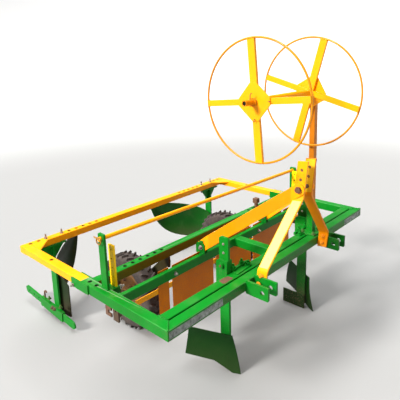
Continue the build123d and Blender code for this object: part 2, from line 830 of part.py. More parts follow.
# Foot bars along the outer side of the rear shanks, each held in a sleeve
foot_run = foot_bar_rear_reach - foot_bar_front_reach
foot_rise = foot_bar_front_drop - foot_bar_rear_drop
foot_slope = atan2(foot_rise, foot_run)
foot_length = (foot_run - foot_bar_height) / cos(foot_slope) + foot_bar_height
foot_plane = Plane(
    origin=(
        rear_shank_offset + rear_shank_thickness / 2,
        behind((foot_bar_front_reach + foot_bar_rear_reach) / 2),
        frame_top - (foot_bar_front_drop + foot_bar_rear_drop) / 2,
    ),
    x_dir=(0, cos(foot_slope), sin(foot_slope)),
    z_dir=(1, 0, 0),
)
with BuildPart() as foot_bar:
    with BuildSketch(foot_plane.offset(foot_sleeve_wall)):
        SlotOverall(foot_length, foot_bar_height)
        with Locations((foot_length / 2 - foot_bar_height, 0)):
            with Locations(*[(-index * foot_hole_spacing, 0) for index in range(foot_hole_count)]):
                RegularPolygon(foot_hole_radius, bolt_hole_sides, mode=Mode.SUBTRACT)
    extrude(amount=foot_bar_thickness)
keep_pair(foot_bar, "foot_bar")

with BuildPart() as sleeves:
    with BuildSketch(foot_plane):
        with Locations((-foot_sleeve_shift, 0)):
            Rectangle(foot_sleeve_length, foot_bar_height + 2 * foot_sleeve_wall)
    extrude(amount=foot_bar_thickness + 2 * foot_sleeve_wall)
    with BuildSketch(foot_plane.offset(foot_sleeve_wall)):
        Rectangle(foot_length, foot_bar_height)
    extrude(amount=foot_bar_thickness, mode=Mode.SUBTRACT)
    mirror(about=Plane.YZ)
keep(sleeves, "foot_sleeves")

# Wheel arms: a head under the rear cross tube, a trailing arm and a stub axle
wheel_y = behind(wheel_reach)
wheel_z = wheel_radius
arm_outer_x = wheel_offset - tyre_width / 2 - arm_gap
hub_inner_x = wheel_offset - hub_length / 2
hub_outer_x = wheel_offset + hub_length / 2
arm_top_y = behind(rear_tube_reach) + tube / 2
arm_top_z = frame_bottom - arm_head_height / 2
with BuildPart() as wheel_arm:
    with BuildSketch(across(arm_outer_x - arm_thickness, 0, 0)):
        with Locations((arm_top_y, arm_top_z)):
            Rectangle(tube, arm_head_height)
        with Locations(((arm_top_y + wheel_y) / 2, (arm_top_z + wheel_z) / 2)):
            SlotCenterToCenter(
                hypot(wheel_y - arm_top_y, arm_top_z - wheel_z),
                arm_width,
                rotation=degrees(atan2(wheel_z - arm_top_z, wheel_y - arm_top_y)),
            )
    extrude(amount=arm_thickness)
    with BuildSketch(across(arm_outer_x, wheel_y, wheel_z)):
        Circle(axle_collar_radius)
    extrude(amount=hub_inner_x - axle_end_gap - arm_outer_x)
    with BuildSketch(across(arm_outer_x, wheel_y, wheel_z)):
        Circle(axle_radius)
    extrude(amount=hub_outer_x + axle_end_gap + axle_nut_width - arm_outer_x)
    with BuildSketch(across(hub_outer_x + axle_end_gap, wheel_y, wheel_z)):
        RegularPolygon(axle_collar_radius, 6)
    extrude(amount=axle_nut_width)
keep_pair(wheel_arm, "wheel_arm")

# Wheel rims: a flanged band, a disc and a long hub, turned about the axle
with BuildPart() as wheel_rim:
    with BuildSketch(Plane(origin=(wheel_offset, wheel_y, wheel_z), x_dir=(1, 0, 0), z_dir=(0, -1, 0))):
        with Locations((0, rim_radius - rim_wall / 2)):
            Rectangle(rim_width, rim_wall)
        for s in (-1, 1):
            with Locations((s * (rim_width - rim_wall) / 2, rim_radius + rim_flange / 2)):
                Rectangle(rim_wall, rim_flange)
        with Locations((0, (rim_radius - rim_wall) / 2)):
            Rectangle(wheel_disc, rim_radius - rim_wall)
        with Locations((0, hub_radius / 2)):
            Rectangle(hub_length, hub_radius)
        with Locations((0, 0)):
            Rectangle(2 * hub_length, 2 * (axle_radius + axle_clearance), mode=Mode.SUBTRACT)
    revolve(axis=Axis((wheel_offset, wheel_y, wheel_z), (1, 0, 0)))
keep_pair(wheel_rim, "wheel_rim")

# Tyres: a faceted carcass with lugs that slant out from the middle of the tread
bead_half = rim_width / 2 - rim_wall - bead_gap
tyre_seat = rim_radius + bead_gap
bead_top = rim_radius + rim_flange + bead_gap
tread_radius = wheel_radius - lug_height
tread_half = tyre_width / 2 - tyre_shoulder
flank_radius = (bead_top + tread_radius) / 2
# Columns: distance from the wheel's middle plane, radius; one half of the carcass, from bead to tread.
carcass = (
    (bead_half, tyre_seat),
    (bead_half, bead_top),
    (tyre_width / 2, flank_radius),
    (tyre_width / 2, tread_radius - tyre_shoulder),
    (tread_half, tread_radius),
)
lug_span = (tyre_lug_length * sin(radians(lug_slant)) + tyre_lug_width) / 2
lug_top = sqrt(wheel_radius**2 - lug_span**2)
lug_planes = []
for side in (-1, 1):
    for index in range(tyre_lug_count):
        angle = radians(360 * (index + side / 4) / tyre_lug_count)
        outward = (0, cos(angle), sin(angle))
        slant = radians(side * lug_slant)
        lug_planes.append(
            Plane(
                origin=(
                    wheel_offset + side * (tyre_width - tyre_lug_length) / 2,
                    wheel_y + lug_top * outward[1],
                    wheel_z + lug_top * outward[2],
                ),
                x_dir=(cos(slant), -sin(slant) * outward[2], sin(slant) * outward[1]),
                z_dir=outward,
            )
        )
with BuildPart() as tyre:
    with BuildSketch(Plane(origin=(wheel_offset, wheel_y, wheel_z), x_dir=(1, 0, 0), z_dir=(0, -1, 0))):
        Polygon(*carcass, *[(-x, radius) for x, radius in reversed(carcass)], align=None)
    revolve(axis=Axis((wheel_offset, wheel_y, wheel_z), (1, 0, 0)))
    with BuildSketch(*lug_planes):
        Rectangle(tyre_lug_length, tyre_lug_width)
    extrude(amount=-2 * lug_height, taper=-lug_draft)
keep_pair(tyre, "tyre")
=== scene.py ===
"""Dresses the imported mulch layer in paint, rubber, fasteners and welds, in a pale studio.

Metres, in the part's own frame: +Z is up, -Y is forward, +X is the machine's left-hand side.
"""

import logging
import math
import random
from collections.abc import Sequence
from dataclasses import dataclass, replace
from enum import Enum
from typing import Union

import bmesh
import bpy
from mathutils import Matrix, Vector


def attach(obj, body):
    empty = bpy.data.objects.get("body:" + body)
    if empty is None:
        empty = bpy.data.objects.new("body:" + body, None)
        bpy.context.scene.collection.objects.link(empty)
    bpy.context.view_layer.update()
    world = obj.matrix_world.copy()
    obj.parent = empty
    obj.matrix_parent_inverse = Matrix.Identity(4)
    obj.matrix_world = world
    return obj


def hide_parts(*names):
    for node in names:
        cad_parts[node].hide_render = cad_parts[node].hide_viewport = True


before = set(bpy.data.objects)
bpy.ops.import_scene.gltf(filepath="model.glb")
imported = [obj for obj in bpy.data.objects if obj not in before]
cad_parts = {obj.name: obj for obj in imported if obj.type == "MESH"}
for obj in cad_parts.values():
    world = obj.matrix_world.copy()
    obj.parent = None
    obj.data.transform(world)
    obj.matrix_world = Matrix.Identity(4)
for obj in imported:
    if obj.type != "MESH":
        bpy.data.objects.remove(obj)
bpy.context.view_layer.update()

log = logging.getLogger("mulch_layer")
Point = tuple[float, float, float]
Colour = tuple[float, float, float]
Number = Union[float, "Value"]

FRAME_TOP = 0.530
FILM = 0.0004
SIDES = (-1, 1)


class Body(Enum):
    """The bodies that the part moves as."""

    FRAME = "frame"
    REEL = "reel"
    WHEEL_LEFT = "press_wheel_left"
    WHEEL_RIGHT = "press_wheel_right"


class Slot(Enum):
    """The record's material slots."""

    GREEN = "green_paint"
    YELLOW = "yellow_paint"
    RIM = "rim_paint"
    STEEL = "steel"
    TYRE = "tyre"


# Node trees


class Tree:
    """A node tree that is filled one node at a time."""

    def __init__(self, nodes: bpy.types.NodeTree) -> None:
        """Starts from an empty tree.

        Args:
            nodes: the tree to fill.
        """
        self.nodes = nodes
        nodes.nodes.clear()

    def node(
        self, kind: str, settings: dict[str, object] | None = None, sockets: dict | None = None
    ) -> bpy.types.Node:
        """Adds a node, makes its settings, then fills its sockets.

        Args:
            kind: the node's type.
            settings: its properties by name; "stops" holds a ramp's (place, colour) pairs.
            sockets: numbers, colours or links by the socket's name or index.

        Returns:
            The new node.
        """
        made = self.nodes.nodes.new(kind)
        for name, value in (settings or {}).items():
            if name == "stops":
                self._stops(made, value)
            else:
                setattr(made, name, value)
        for key, value in (sockets or {}).items():
            socket = made.inputs[key]
            if isinstance(value, Value):
                self.nodes.links.new(value.socket, socket)
            elif isinstance(value, bpy.types.NodeSocket):
                self.nodes.links.new(value, socket)
            elif socket.type == "RGBA":
                socket.default_value = (*value, 1.0)
            else:
                socket.default_value = value
        return made

    def _stops(self, ramp: bpy.types.Node, stops: Sequence[tuple[float, Colour]]) -> None:
        """Sets a colour ramp's stops.

        Args:
            ramp: the ramp node.
            stops: (place, colour) pairs in order.
        """
        elements = ramp.color_ramp.elements
        while len(elements) < len(stops):
            elements.new(1.0)
        for element, (place, colour) in zip(elements, stops):
            element.position = place
            element.color = (*colour, 1.0)

    def value(self, kind: str, settings: dict, sockets: dict, output: int = 0) -> "Value":
        """Adds a node and hands back one of its outputs.

        Args:
            kind: the node's type.
            settings: its properties.
            sockets: its inputs.
            output: the output's index.

        Returns:
            The output, ready for arithmetic.
        """
        return Value(self, self.node(kind, settings, sockets).outputs[output])


@dataclass(frozen=True)
class Value:
    """A node's output that takes part in arithmetic."""

    tree: Tree
    socket: bpy.types.NodeSocket

    def _math(self, operation: str, *terms: "Number") -> "Value":
        """Adds a Math node.

        Args:
            operation: the node's operation.
            terms: its inputs in order.

        Returns:
            The node's output.
        """
        return self.tree.value("ShaderNodeMath", {"operation": operation}, dict(enumerate(terms)))

    def __add__(self, other: "Number") -> "Value":
        """This value plus another."""
        return self._math("ADD", self, other)

    def __radd__(self, other: float) -> "Value":
        """A number plus this value."""
        return self._math("ADD", other, self)

    def __sub__(self, other: "Number") -> "Value":
        """This value less another."""
        return self._math("SUBTRACT", self, other)

    def __rsub__(self, other: float) -> "Value":
        """A number less this value."""
        return self._math("SUBTRACT", other, self)

    def __mul__(self, other: "Number") -> "Value":
        """This value times another."""
        return self._math("MULTIPLY", self, other)

    def __rmul__(self, other: float) -> "Value":
        """A number times this value."""
        return self._math("MULTIPLY", other, self)

    def highest(self, other: "Number") -> "Value":
        """The larger of this value and another."""
        return self._math("MAXIMUM", self, other)

    def lowest(self, other: "Number") -> "Value":
        """The smaller of this value and another."""
        return self._math("MINIMUM", self, other)

    def band(self, low: float, high: float) -> "Value":
        """A soft step from 0 at low to 1 at high.

        Args:
            low: where the step starts.
            high: where the step ends.

        Returns:
            The step's height.
        """
        return self.tree.value(
            "ShaderNodeMapRange",
            {"interpolation_type": "SMOOTHSTEP"},
            {"Value": self, "From Min": low, "From Max": high},
        )


class Surface(Tree):
    """A material's tree, with the patterns that every finish draws on."""

    def __init__(self, name: str) -> None:
        """Makes the material, its shader and its object coordinates.

        Args:
            name: the material's name.
        """
        self.material = bpy.data.materials.new(name)
        self.material.use_nodes = True
        super().__init__(self.material.node_tree)
        self.place = self.value("ShaderNodeTexCoord", {}, {}, 3)
        geometry = self.node("ShaderNodeNewGeometry")
        self.edge = Value(self, geometry.outputs["Pointiness"])
        self.facing = self.split(Value(self, geometry.outputs["Normal"]))
        self.position = self.split(self.place)

    def split(self, vector: Value) -> tuple[Value, Value, Value]:
        """Takes a vector apart.

        Args:
            vector: the vector.

        Returns:
            Its three parts.
        """
        parts = self.node("ShaderNodeSeparateXYZ", {}, {0: vector})
        return tuple(Value(self, out) for out in parts.outputs)

    def noise(
        self, scale: float, detail: float = 4, roughness: float = 0.5, stretch: Point = (1, 1, 1)
    ) -> Value:
        """Cloudy noise on the object's own coordinates.

        Args:
            scale: features per metre.
            detail: octaves.
            roughness: how strong the finer octaves are.
            stretch: how the pattern is scaled along each axis.

        Returns:
            The noise, about 0.5 in the middle.
        """
        place = self.value("ShaderNodeMapping", {}, {"Vector": self.place, "Scale": stretch})
        return self.value(
            "ShaderNodeTexNoise",
            {},
            {"Vector": place, "Scale": scale, "Detail": detail, "Roughness": roughness},
        )

    def mix(self, under: "Colour | Value", over: "Colour | Value", share: "Number") -> Value:
        """Lays one colour over another.

        Args:
            under: the colour below.
            over: the colour above.
            share: how much of the upper one shows.

        Returns:
            The mixed colour.
        """
        return self.value(
            "ShaderNodeMix", {"data_type": "RGBA"}, {0: share, 6: under, 7: over}, 2
        )

    def finish(self, distance: float, height: Value, fixed: dict, **varying: Value) -> None:
        """Adds the shader with a bump and closes the tree.

        Args:
            distance: the bump's height in metres.
            height: the bump's pattern.
            fixed: the shader's constant inputs by name.
            varying: its linked inputs, named with underscores for spaces.
        """
        bump = self.value(
            "ShaderNodeBump", {}, {"Strength": 1.0, "Distance": distance, "Height": height}
        )
        linked = {name.replace("_", " "): value for name, value in varying.items()}
        shader = self.node("ShaderNodeBsdfPrincipled", {}, {**fixed, **linked, "Normal": bump})
        self.node("ShaderNodeOutputMaterial", {}, {"Surface": shader.outputs[0]})


# Finishes

DUST: Colour = (0.36, 0.29, 0.20)
RUST: Colour = (0.065, 0.028, 0.015)
RUST_BRIGHT: Colour = (0.17, 0.068, 0.024)
UNDERCOAT: Colour = (0.10, 0.075, 0.06)
SOIL: Colour = (0.075, 0.050, 0.033)
# Pale green for the painted highlight along upward rounded edges.
PAINTED_EDGE_HIGHLIGHT: Colour = (0.24, 0.34, 0.20)
CLOD: Colour = (0.100, 0.074, 0.060)
SCUFF: Colour = (0.028, 0.023, 0.021)


@dataclass(frozen=True)
class Finish:
    """A finish that becomes one material, made once."""

    name: str

    def material(self) -> bpy.types.Material:
        """The finish's material, made the first time it is asked for.

        Returns:
            The material.
        """
        known = bpy.data.materials.get(self.name)
        if known is None:
            surface = Surface(self.name)
            self.draw(surface)
            known = surface.material
        return known

    def draw(self, surface: Surface) -> None:
        """Fills the material's tree; each finish has its own.

        Args:
            surface: the empty tree.
        """
        raise NotImplementedError


@dataclass(frozen=True)
class Paint(Finish):
    """Gloss machinery paint with chipped edges, dust, a little rust and, where asked, a painted highlight
    along upward edges.
    """

    colour: Colour
    shade: Colour
    glint: Colour
    wear: float = 0.5
    dust: float = 0.22
    soil: float = 0.0
    soil_reach: tuple[float, float] = (0.02, 0.20)
    forward: Colour | None = None
    edge_highlight: float = 0.0

    def draw(self, surface: Surface) -> None:
        """Paint, then dust, a painted highlight on upward edges, soil up to a height, chips on edges and
        rust in the chips.

        Args:
            surface: the empty tree.
        """
        broad = surface.noise(5, 3)
        brushed = surface.noise(26, 5, 0.6, (1, 1, 0.35))
        fine = surface.noise(150, 6, 0.65)
        speck = surface.noise(900, 2)
        tone = surface.mix(self.colour, self.shade, broad.band(0.35, 0.75) * 0.6)
        tone = surface.mix(tone, self.glint, brushed.band(0.52, 0.8) * 0.35)
        upward = surface.facing[2].band(0.2, 1.0)
        film = (upward * 0.5 + 0.2) * surface.noise(11, 6, 0.62).band(0.45, 0.85) * self.dust
        low = 1 - surface.position[2].band(*self.soil_reach)
        soil = (low * (fine.band(0.30, 0.55) * 0.55 + 0.45) * self.soil).lowest(1.0)
        # Painted highlight: a pale line along upward rounded edges, standing in for the lamps' reflection
        # there.
        rim = surface.edge.band(0.535, 0.565) * upward * self.edge_highlight
        chipped = (surface.edge + (fine - 0.5) * 0.16).band(0.572, 0.60) * self.wear
        scratch = surface.noise(38, 7, 0.72).band(0.70, 0.74) * self.wear
        bare = chipped.highest(scratch * 0.8)
        metal = surface.mix(UNDERCOAT, RUST_BRIGHT, speck.band(0.45, 0.7))
        if self.forward:
            ahead = (surface.facing[1] * -1.0).band(0.5, 0.95)
            tone = surface.mix(tone, self.forward, ahead * (brushed * 0.3 + 0.65))
        colour = surface.mix(tone, DUST, film)
        colour = surface.mix(colour, PAINTED_EDGE_HIGHLIGHT, rim)
        colour = surface.mix(colour, SOIL, soil)
        colour = surface.mix(colour, metal, bare)
        rough = 0.30 + brushed * 0.12 + film * 0.5 + soil * 0.5 + bare * 0.35
        height = speck * 0.04 + fine * 0.05 - bare * 0.5 + soil * speck * 0.6
        coat = (1 - bare) * (1 - soil) * 0.07
        surface.finish(
            0.0006,
            height,
            {"Specular IOR Level": 0.12, "Coat Roughness": 0.10},
            Base_Color=colour,
            Roughness=rough,
            Coat_Weight=coat,
        )


@dataclass(frozen=True)
class Steel(Finish):
    """Bare or plated steel, from bright to brown with rust."""

    colour: Colour
    rust: float = 0.4

    def draw(self, surface: Surface) -> None:
        """Metal under blotches of rust.

        Args:
            surface: the empty tree.
        """
        blotch = surface.noise(60, 7, 0.68)
        grain = surface.noise(700, 3)
        worn = blotch.band(0.62 - 0.35 * self.rust, 0.78 - 0.3 * self.rust)
        brown = surface.mix(RUST, RUST_BRIGHT, grain.band(0.4, 0.7))
        colour = surface.mix(self.colour, brown, worn)
        surface.finish(
            0.0005,
            worn * grain * 0.7 + grain * 0.1,
            {"Specular IOR Level": 0.5},
            Base_Color=colour,
            Roughness=0.32 + worn * 0.45 + grain * 0.08,
            Metallic=(1 - worn) * 0.9,
        )


@dataclass(frozen=True)
class Rubber(Finish):
    """Field tyre rubber, black under dry earth that stays between the lugs."""

    colour: Colour = (0.015, 0.012, 0.011)
    earth: Colour = (0.070, 0.052, 0.044)

    def draw(self, surface: Surface) -> None:
        """Rubber, a dusty film and clods of dried earth.

        Args:
            surface: the empty tree.
        """
        cloud = surface.noise(18, 6, 0.6)
        crumb = surface.noise(240, 6, 0.7)
        grain = surface.noise(900, 2)
        film = cloud.band(0.30, 0.72) * 0.55 + 0.22
        clods = crumb.band(0.50, 0.62) * cloud.band(0.38, 0.6)
        scuffed = surface.edge.band(0.53, 0.62) * 0.45
        colour = surface.mix(self.colour, self.earth, film)
        colour = surface.mix(colour, CLOD, clods * 0.7)
        colour = surface.mix(colour, SCUFF, scuffed)
        surface.finish(
            0.0011,
            clods * 0.8 + crumb * 0.5 + grain * 0.15,
            {"Specular IOR Level": 0.3},
            Base_Color=colour,
            Roughness=0.78 + clods * 0.18,
        )


@dataclass(frozen=True)
class Vinyl(Finish):
    """Blank adhesive strip, weathered and lifting grey at its edges."""

    colour: Colour
    soil: Colour
    grime: float

    def draw(self, surface: Surface) -> None:
        """Smooth vinyl under grime.

        Args:
            surface: the empty tree.
        """
        stain = surface.noise(45, 6, 0.65)
        grit = surface.noise(520, 3)
        rubbed = (stain + (grit - 0.5) * 0.3).band(0.62 - self.grime * 0.3, 0.72)
        surface.finish(
            0.0002,
            rubbed * 0.4 + grit * 0.2,
            {"Specular IOR Level": 0.5},
            Base_Color=surface.mix(self.colour, self.soil, rubbed * 0.85),
            Roughness=0.30 + rubbed * 0.4,
        )


@dataclass(frozen=True)
class Backdrop(Finish):
    """Matt studio paper."""

    floor: Colour
    wall: Colour
    glow: Colour
    near: float
    far: float

    def draw(self, surface: Surface) -> None:
        """Paper with a faint mottle, lit from behind towards the wall.

        Args:
            surface: the empty tree.
        """
        mottle = surface.noise(2, 2)
        away = surface.value("ShaderNodeVectorMath", {"operation": "LENGTH"}, {0: surface.place}, 1)
        rise = away.band(self.near, self.far)
        surface.finish(
            0.0001,
            mottle,
            {"Specular IOR Level": 0.1, "Emission Strength": 1.0},
            Base_Color=surface.mix(self.floor, self.wall, rise),
            Emission_Color=surface.mix((0.0, 0.0, 0.0), self.glow, rise),
            Roughness=0.85 + mottle * 0.05,
        )


GREEN = Paint(
    "green_enamel", (0.001, 0.165, 0.010), (0.001, 0.120, 0.004), (0.008, 0.21, 0.030), dust=0.14
)
# These greens add a painted highlight along the tubes' upward edges.
GREEN_HIGHLIGHTED = replace(GREEN, name="green_enamel_lined", edge_highlight=0.8)
GREEN_OLIVE = replace(GREEN_HIGHLIGHTED, name="green_enamel_olive", forward=(0.115, 0.085, 0.006))
GREEN_WELD = Paint(
    "green_enamel_weld", (0.001, 0.150, 0.009), (0.001, 0.105, 0.004), (0.006, 0.19, 0.025),
    wear=0.0, dust=0.10,
)
# A darker green for far-side pieces: partly painted shade, partly dirt, with soil low down.
GREEN_PAINTED_SHADE_AND_SOIL = Paint(
    "green_enamel_soiled", (0.002, 0.070, 0.004), (0.002, 0.044, 0.002), (0.006, 0.10, 0.010),
    wear=0.9, dust=0.25, soil=0.7,
)
GREEN_DARK = Paint(
    "green_enamel_dark", (0.001, 0.030, 0.001), (0.002, 0.021, 0.001), (0.003, 0.046, 0.001),
    wear=1.0, dust=0.06, soil=0.15,
)
# A dark brownish green for the near rear blade: partly painted shade, partly earth, with soil low down.
GREEN_PAINTED_SHADE_AND_EARTH = Paint(
    "green_enamel_earthed", (0.012, 0.026, 0.009), (0.020, 0.018, 0.011), (0.008, 0.050, 0.010),
    wear=1.0, dust=0.15, soil=0.6,
)
GREEN_RUSTED = Paint(
    "green_enamel_rusted", (0.016, 0.020, 0.007), (0.034, 0.018, 0.008), (0.008, 0.045, 0.008),
    wear=1.0, dust=0.25, soil=0.5, soil_reach=(0.10, 0.46),
)
YELLOW = Paint(
    "yellow_enamel", (0.88, 0.335, 0.001), (0.84, 0.28, 0.001), (0.92, 0.40, 0.002),
    wear=0.4, dust=0.12,
)
YELLOW_WELD = Paint(
    "yellow_enamel_weld", (0.84, 0.29, 0.001), (0.78, 0.23, 0.001), (0.90, 0.36, 0.002),
    wear=0.0, dust=0.10,
)
STAY = Paint(
    "stay_enamel", (0.92, 0.31, 0.001), (0.88, 0.26, 0.001), (0.95, 0.36, 0.002),
    wear=0.3, dust=0.06,
)
# A darker yellow that paints shade on the left mast leg and the spindle.
YELLOW_PAINTED_SHADE = Paint(
    "dulled_enamel", (0.66, 0.20, 0.001), (0.56, 0.16, 0.001), (0.74, 0.25, 0.002),
    wear=0.4, dust=0.06,
)
# A deep orange-brown yellow that paints shade on the reel post.
POST_PAINTED_SHADE = Paint(
    "post_enamel", (0.46, 0.145, 0.002), (0.38, 0.11, 0.001), (0.56, 0.19, 0.003),
    wear=0.4, dust=0.08,
)
# Brighter yellow that paints light on faces lying in cast shadow (depth bars, left mast head); its soil
# setting paints brown shade below the frame's underside.
YELLOW_PAINTED_LIGHT_AND_SHADE = Paint(
    "gauge_enamel", (0.96, 0.56, 0.001), (0.92, 0.50, 0.001), (0.98, 0.62, 0.002),
    wear=0.25, dust=0.10, soil=2.2, soil_reach=(0.465, 0.500),
)
# A darker orange yellow that paints shade on the bed shaper panels.
PANEL_PAINTED_SHADE = Paint(
    "panel_enamel", (0.54, 0.138, 0.001), (0.45, 0.10, 0.001), (0.62, 0.175, 0.002),
    wear=0.4, dust=0.05,
)
RIM = Paint(
    "rim_enamel", (0.15, 0.062, 0.008), (0.075, 0.034, 0.010), (0.24, 0.10, 0.010),
    wear=1.0, dust=0.25, soil=0.7, soil_reach=(0.10, 0.40),
)
# A deeper yellow that paints the shading of the round wire rings.
RING_PAINTED_SHADE = Paint("ring_enamel", (0.60, 0.22, 0.001), (0.46, 0.15, 0.001), (0.72, 0.29, 0.002))
# Near black that paints the shade inside holes and bores.
HOLE_PAINTED_SHADE = Paint(
    "hole_depth", (0.003, 0.005, 0.002), (0.002, 0.003, 0.001), (0.006, 0.008, 0.003),
    wear=0.0, dust=0.0,
)
# A dark brown-orange that paints shade: inside the mast's bores and on the post clamp.
YELLOW_DEEP_PAINTED_SHADE = Paint(
    "hole_dimple", (0.24, 0.085, 0.002), (0.16, 0.05, 0.002), (0.34, 0.13, 0.004),
    wear=0.6, dust=0.05,
)
ZINC = Steel("zinc_plate", (0.40, 0.38, 0.34), rust=0.45)
SHAFT = Steel("turned_shaft", (0.40, 0.38, 0.35), rust=0.55)
BROWN = Steel("rusted_steel", (0.16, 0.11, 0.08), rust=1.0)
PATCH = Steel("rust_patch", (0.09, 0.045, 0.035), rust=1.0)
COPPERED = Steel("yellowed_plate", (0.46, 0.22, 0.025), rust=0.5)
RUBBER = Rubber("tyre_rubber")
YELLOW_STRIP = Vinyl("blank_yellow_strip", (0.60, 0.56, 0.14), (0.52, 0.40, 0.05), grime=0.3)
GREY_STRIP = Vinyl("blank_grey_strip", (0.26, 0.29, 0.27), (0.012, 0.030, 0.016), grime=1.15)
PAPER = Backdrop(
    "studio_paper", (0.270, 0.268, 0.263), (0.30, 0.298, 0.292), (0.62, 0.62, 0.62), near=4.0, far=9.5
)


# Meshes

MERGE_DISTANCE = 0.00002
FLAT_ANGLE = math.radians(0.4)
LONG_EDGE = 0.06
OUTER_ANGLE = math.radians(50)
BEVEL_ANGLE = math.radians(32)
CREASE_ANGLE = math.radians(34)


def turns(steps: int, closed: bool = False) -> list[float]:
    """Even angles round a full turn.

    Args:
        steps: how many steps the turn has.
        closed: whether the last angle meets the first.

    Returns:
        The angles in radians.
    """
    return [math.tau * step / steps for step in range(steps + closed)]


def soften(piece: bpy.types.Object, edge: float) -> None:
    """Rounds a piece's edges with live modifiers and shades it smooth.

    Args:
        piece: the piece.
        edge: the edges' radius.
    """
    for face in piece.data.polygons:
        face.use_smooth = True
    bevel = piece.modifiers.new("rounded_edges", "BEVEL")
    bevel.width = edge
    bevel.segments = 2
    bevel.limit_method = "ANGLE"
    bevel.angle_limit = BEVEL_ANGLE
    bevel.miter_outer = "MITER_ARC"
    shading = piece.modifiers.new("flat_shading", "WEIGHTED_NORMAL")
    shading.weight = 100


def fit(
    piece: bpy.types.Object, finish: Finish, body: Body = Body.FRAME, nodes: Sequence[str] = ()
) -> None:
    """Gives a piece its finish, its body and the nodes that it stands for.

    Args:
        piece: the piece, already in place.
        finish: its finish.
        body: what it rides on.
        nodes: the CAD nodes that it replaces.
    """
    piece.data.materials.clear()
    piece.data.materials.append(finish.material())
    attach(piece, body.value)
    if nodes:
        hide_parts(*nodes)
    log.info("%s: %d faces, on %s", piece.name, len(piece.data.polygons), body.value)


def show(name: str, mesh: bpy.types.Mesh) -> bpy.types.Object:
    """Puts a mesh in the scene as an object at the origin.

    Args:
        name: the object's name.
        mesh: its mesh.

    Returns:
        The object.
    """
    made = bpy.data.objects.new(name, mesh)
    bpy.context.scene.collection.objects.link(made)
    return made


def solid_copy(node: str, corner: float) -> bpy.types.Object:
    """A merged copy of a CAD node, with its long outer edges rounded.

    Args:
        node: the node's name.
        corner: radius of the long outer edges, 0 for none.

    Returns:
        The copy, named after the node.
    """
    mesh = bpy.data.meshes.new(f"{node}_dressed")
    work = bmesh.new()
    work.from_mesh(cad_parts[node].data)
    bmesh.ops.remove_doubles(work, verts=work.verts, dist=MERGE_DISTANCE)
    bmesh.ops.dissolve_limit(work, angle_limit=FLAT_ANGLE, verts=work.verts, edges=work.edges)
    if corner:
        outer = [
            edge
            for edge in work.edges
            if edge.is_manifold
            and edge.calc_length() > LONG_EDGE
            and edge.calc_face_angle_signed() > OUTER_ANGLE
        ]
        bmesh.ops.bevel(
            work, geom=outer, offset=corner, segments=4, profile=0.5, affect="EDGES",
            clamp_overlap=False,
        )
    work.to_mesh(mesh)
    work.free()
    return show(f"{node}_dressed", mesh)


@dataclass(frozen=True)
class Dressed:
    """How one CAD node is dressed: a softened copy in a finish."""

    node: str
    finish: Finish
    slot: Slot
    corner: float = 0.0
    edge: float = 0.0012
    body: Body = Body.FRAME

    def build(self) -> None:
        """Makes the copy and fits it in the node's place."""
        piece = solid_copy(self.node, self.corner)
        soften(piece, self.edge)
        fit(piece, self.finish, self.body, [self.node])


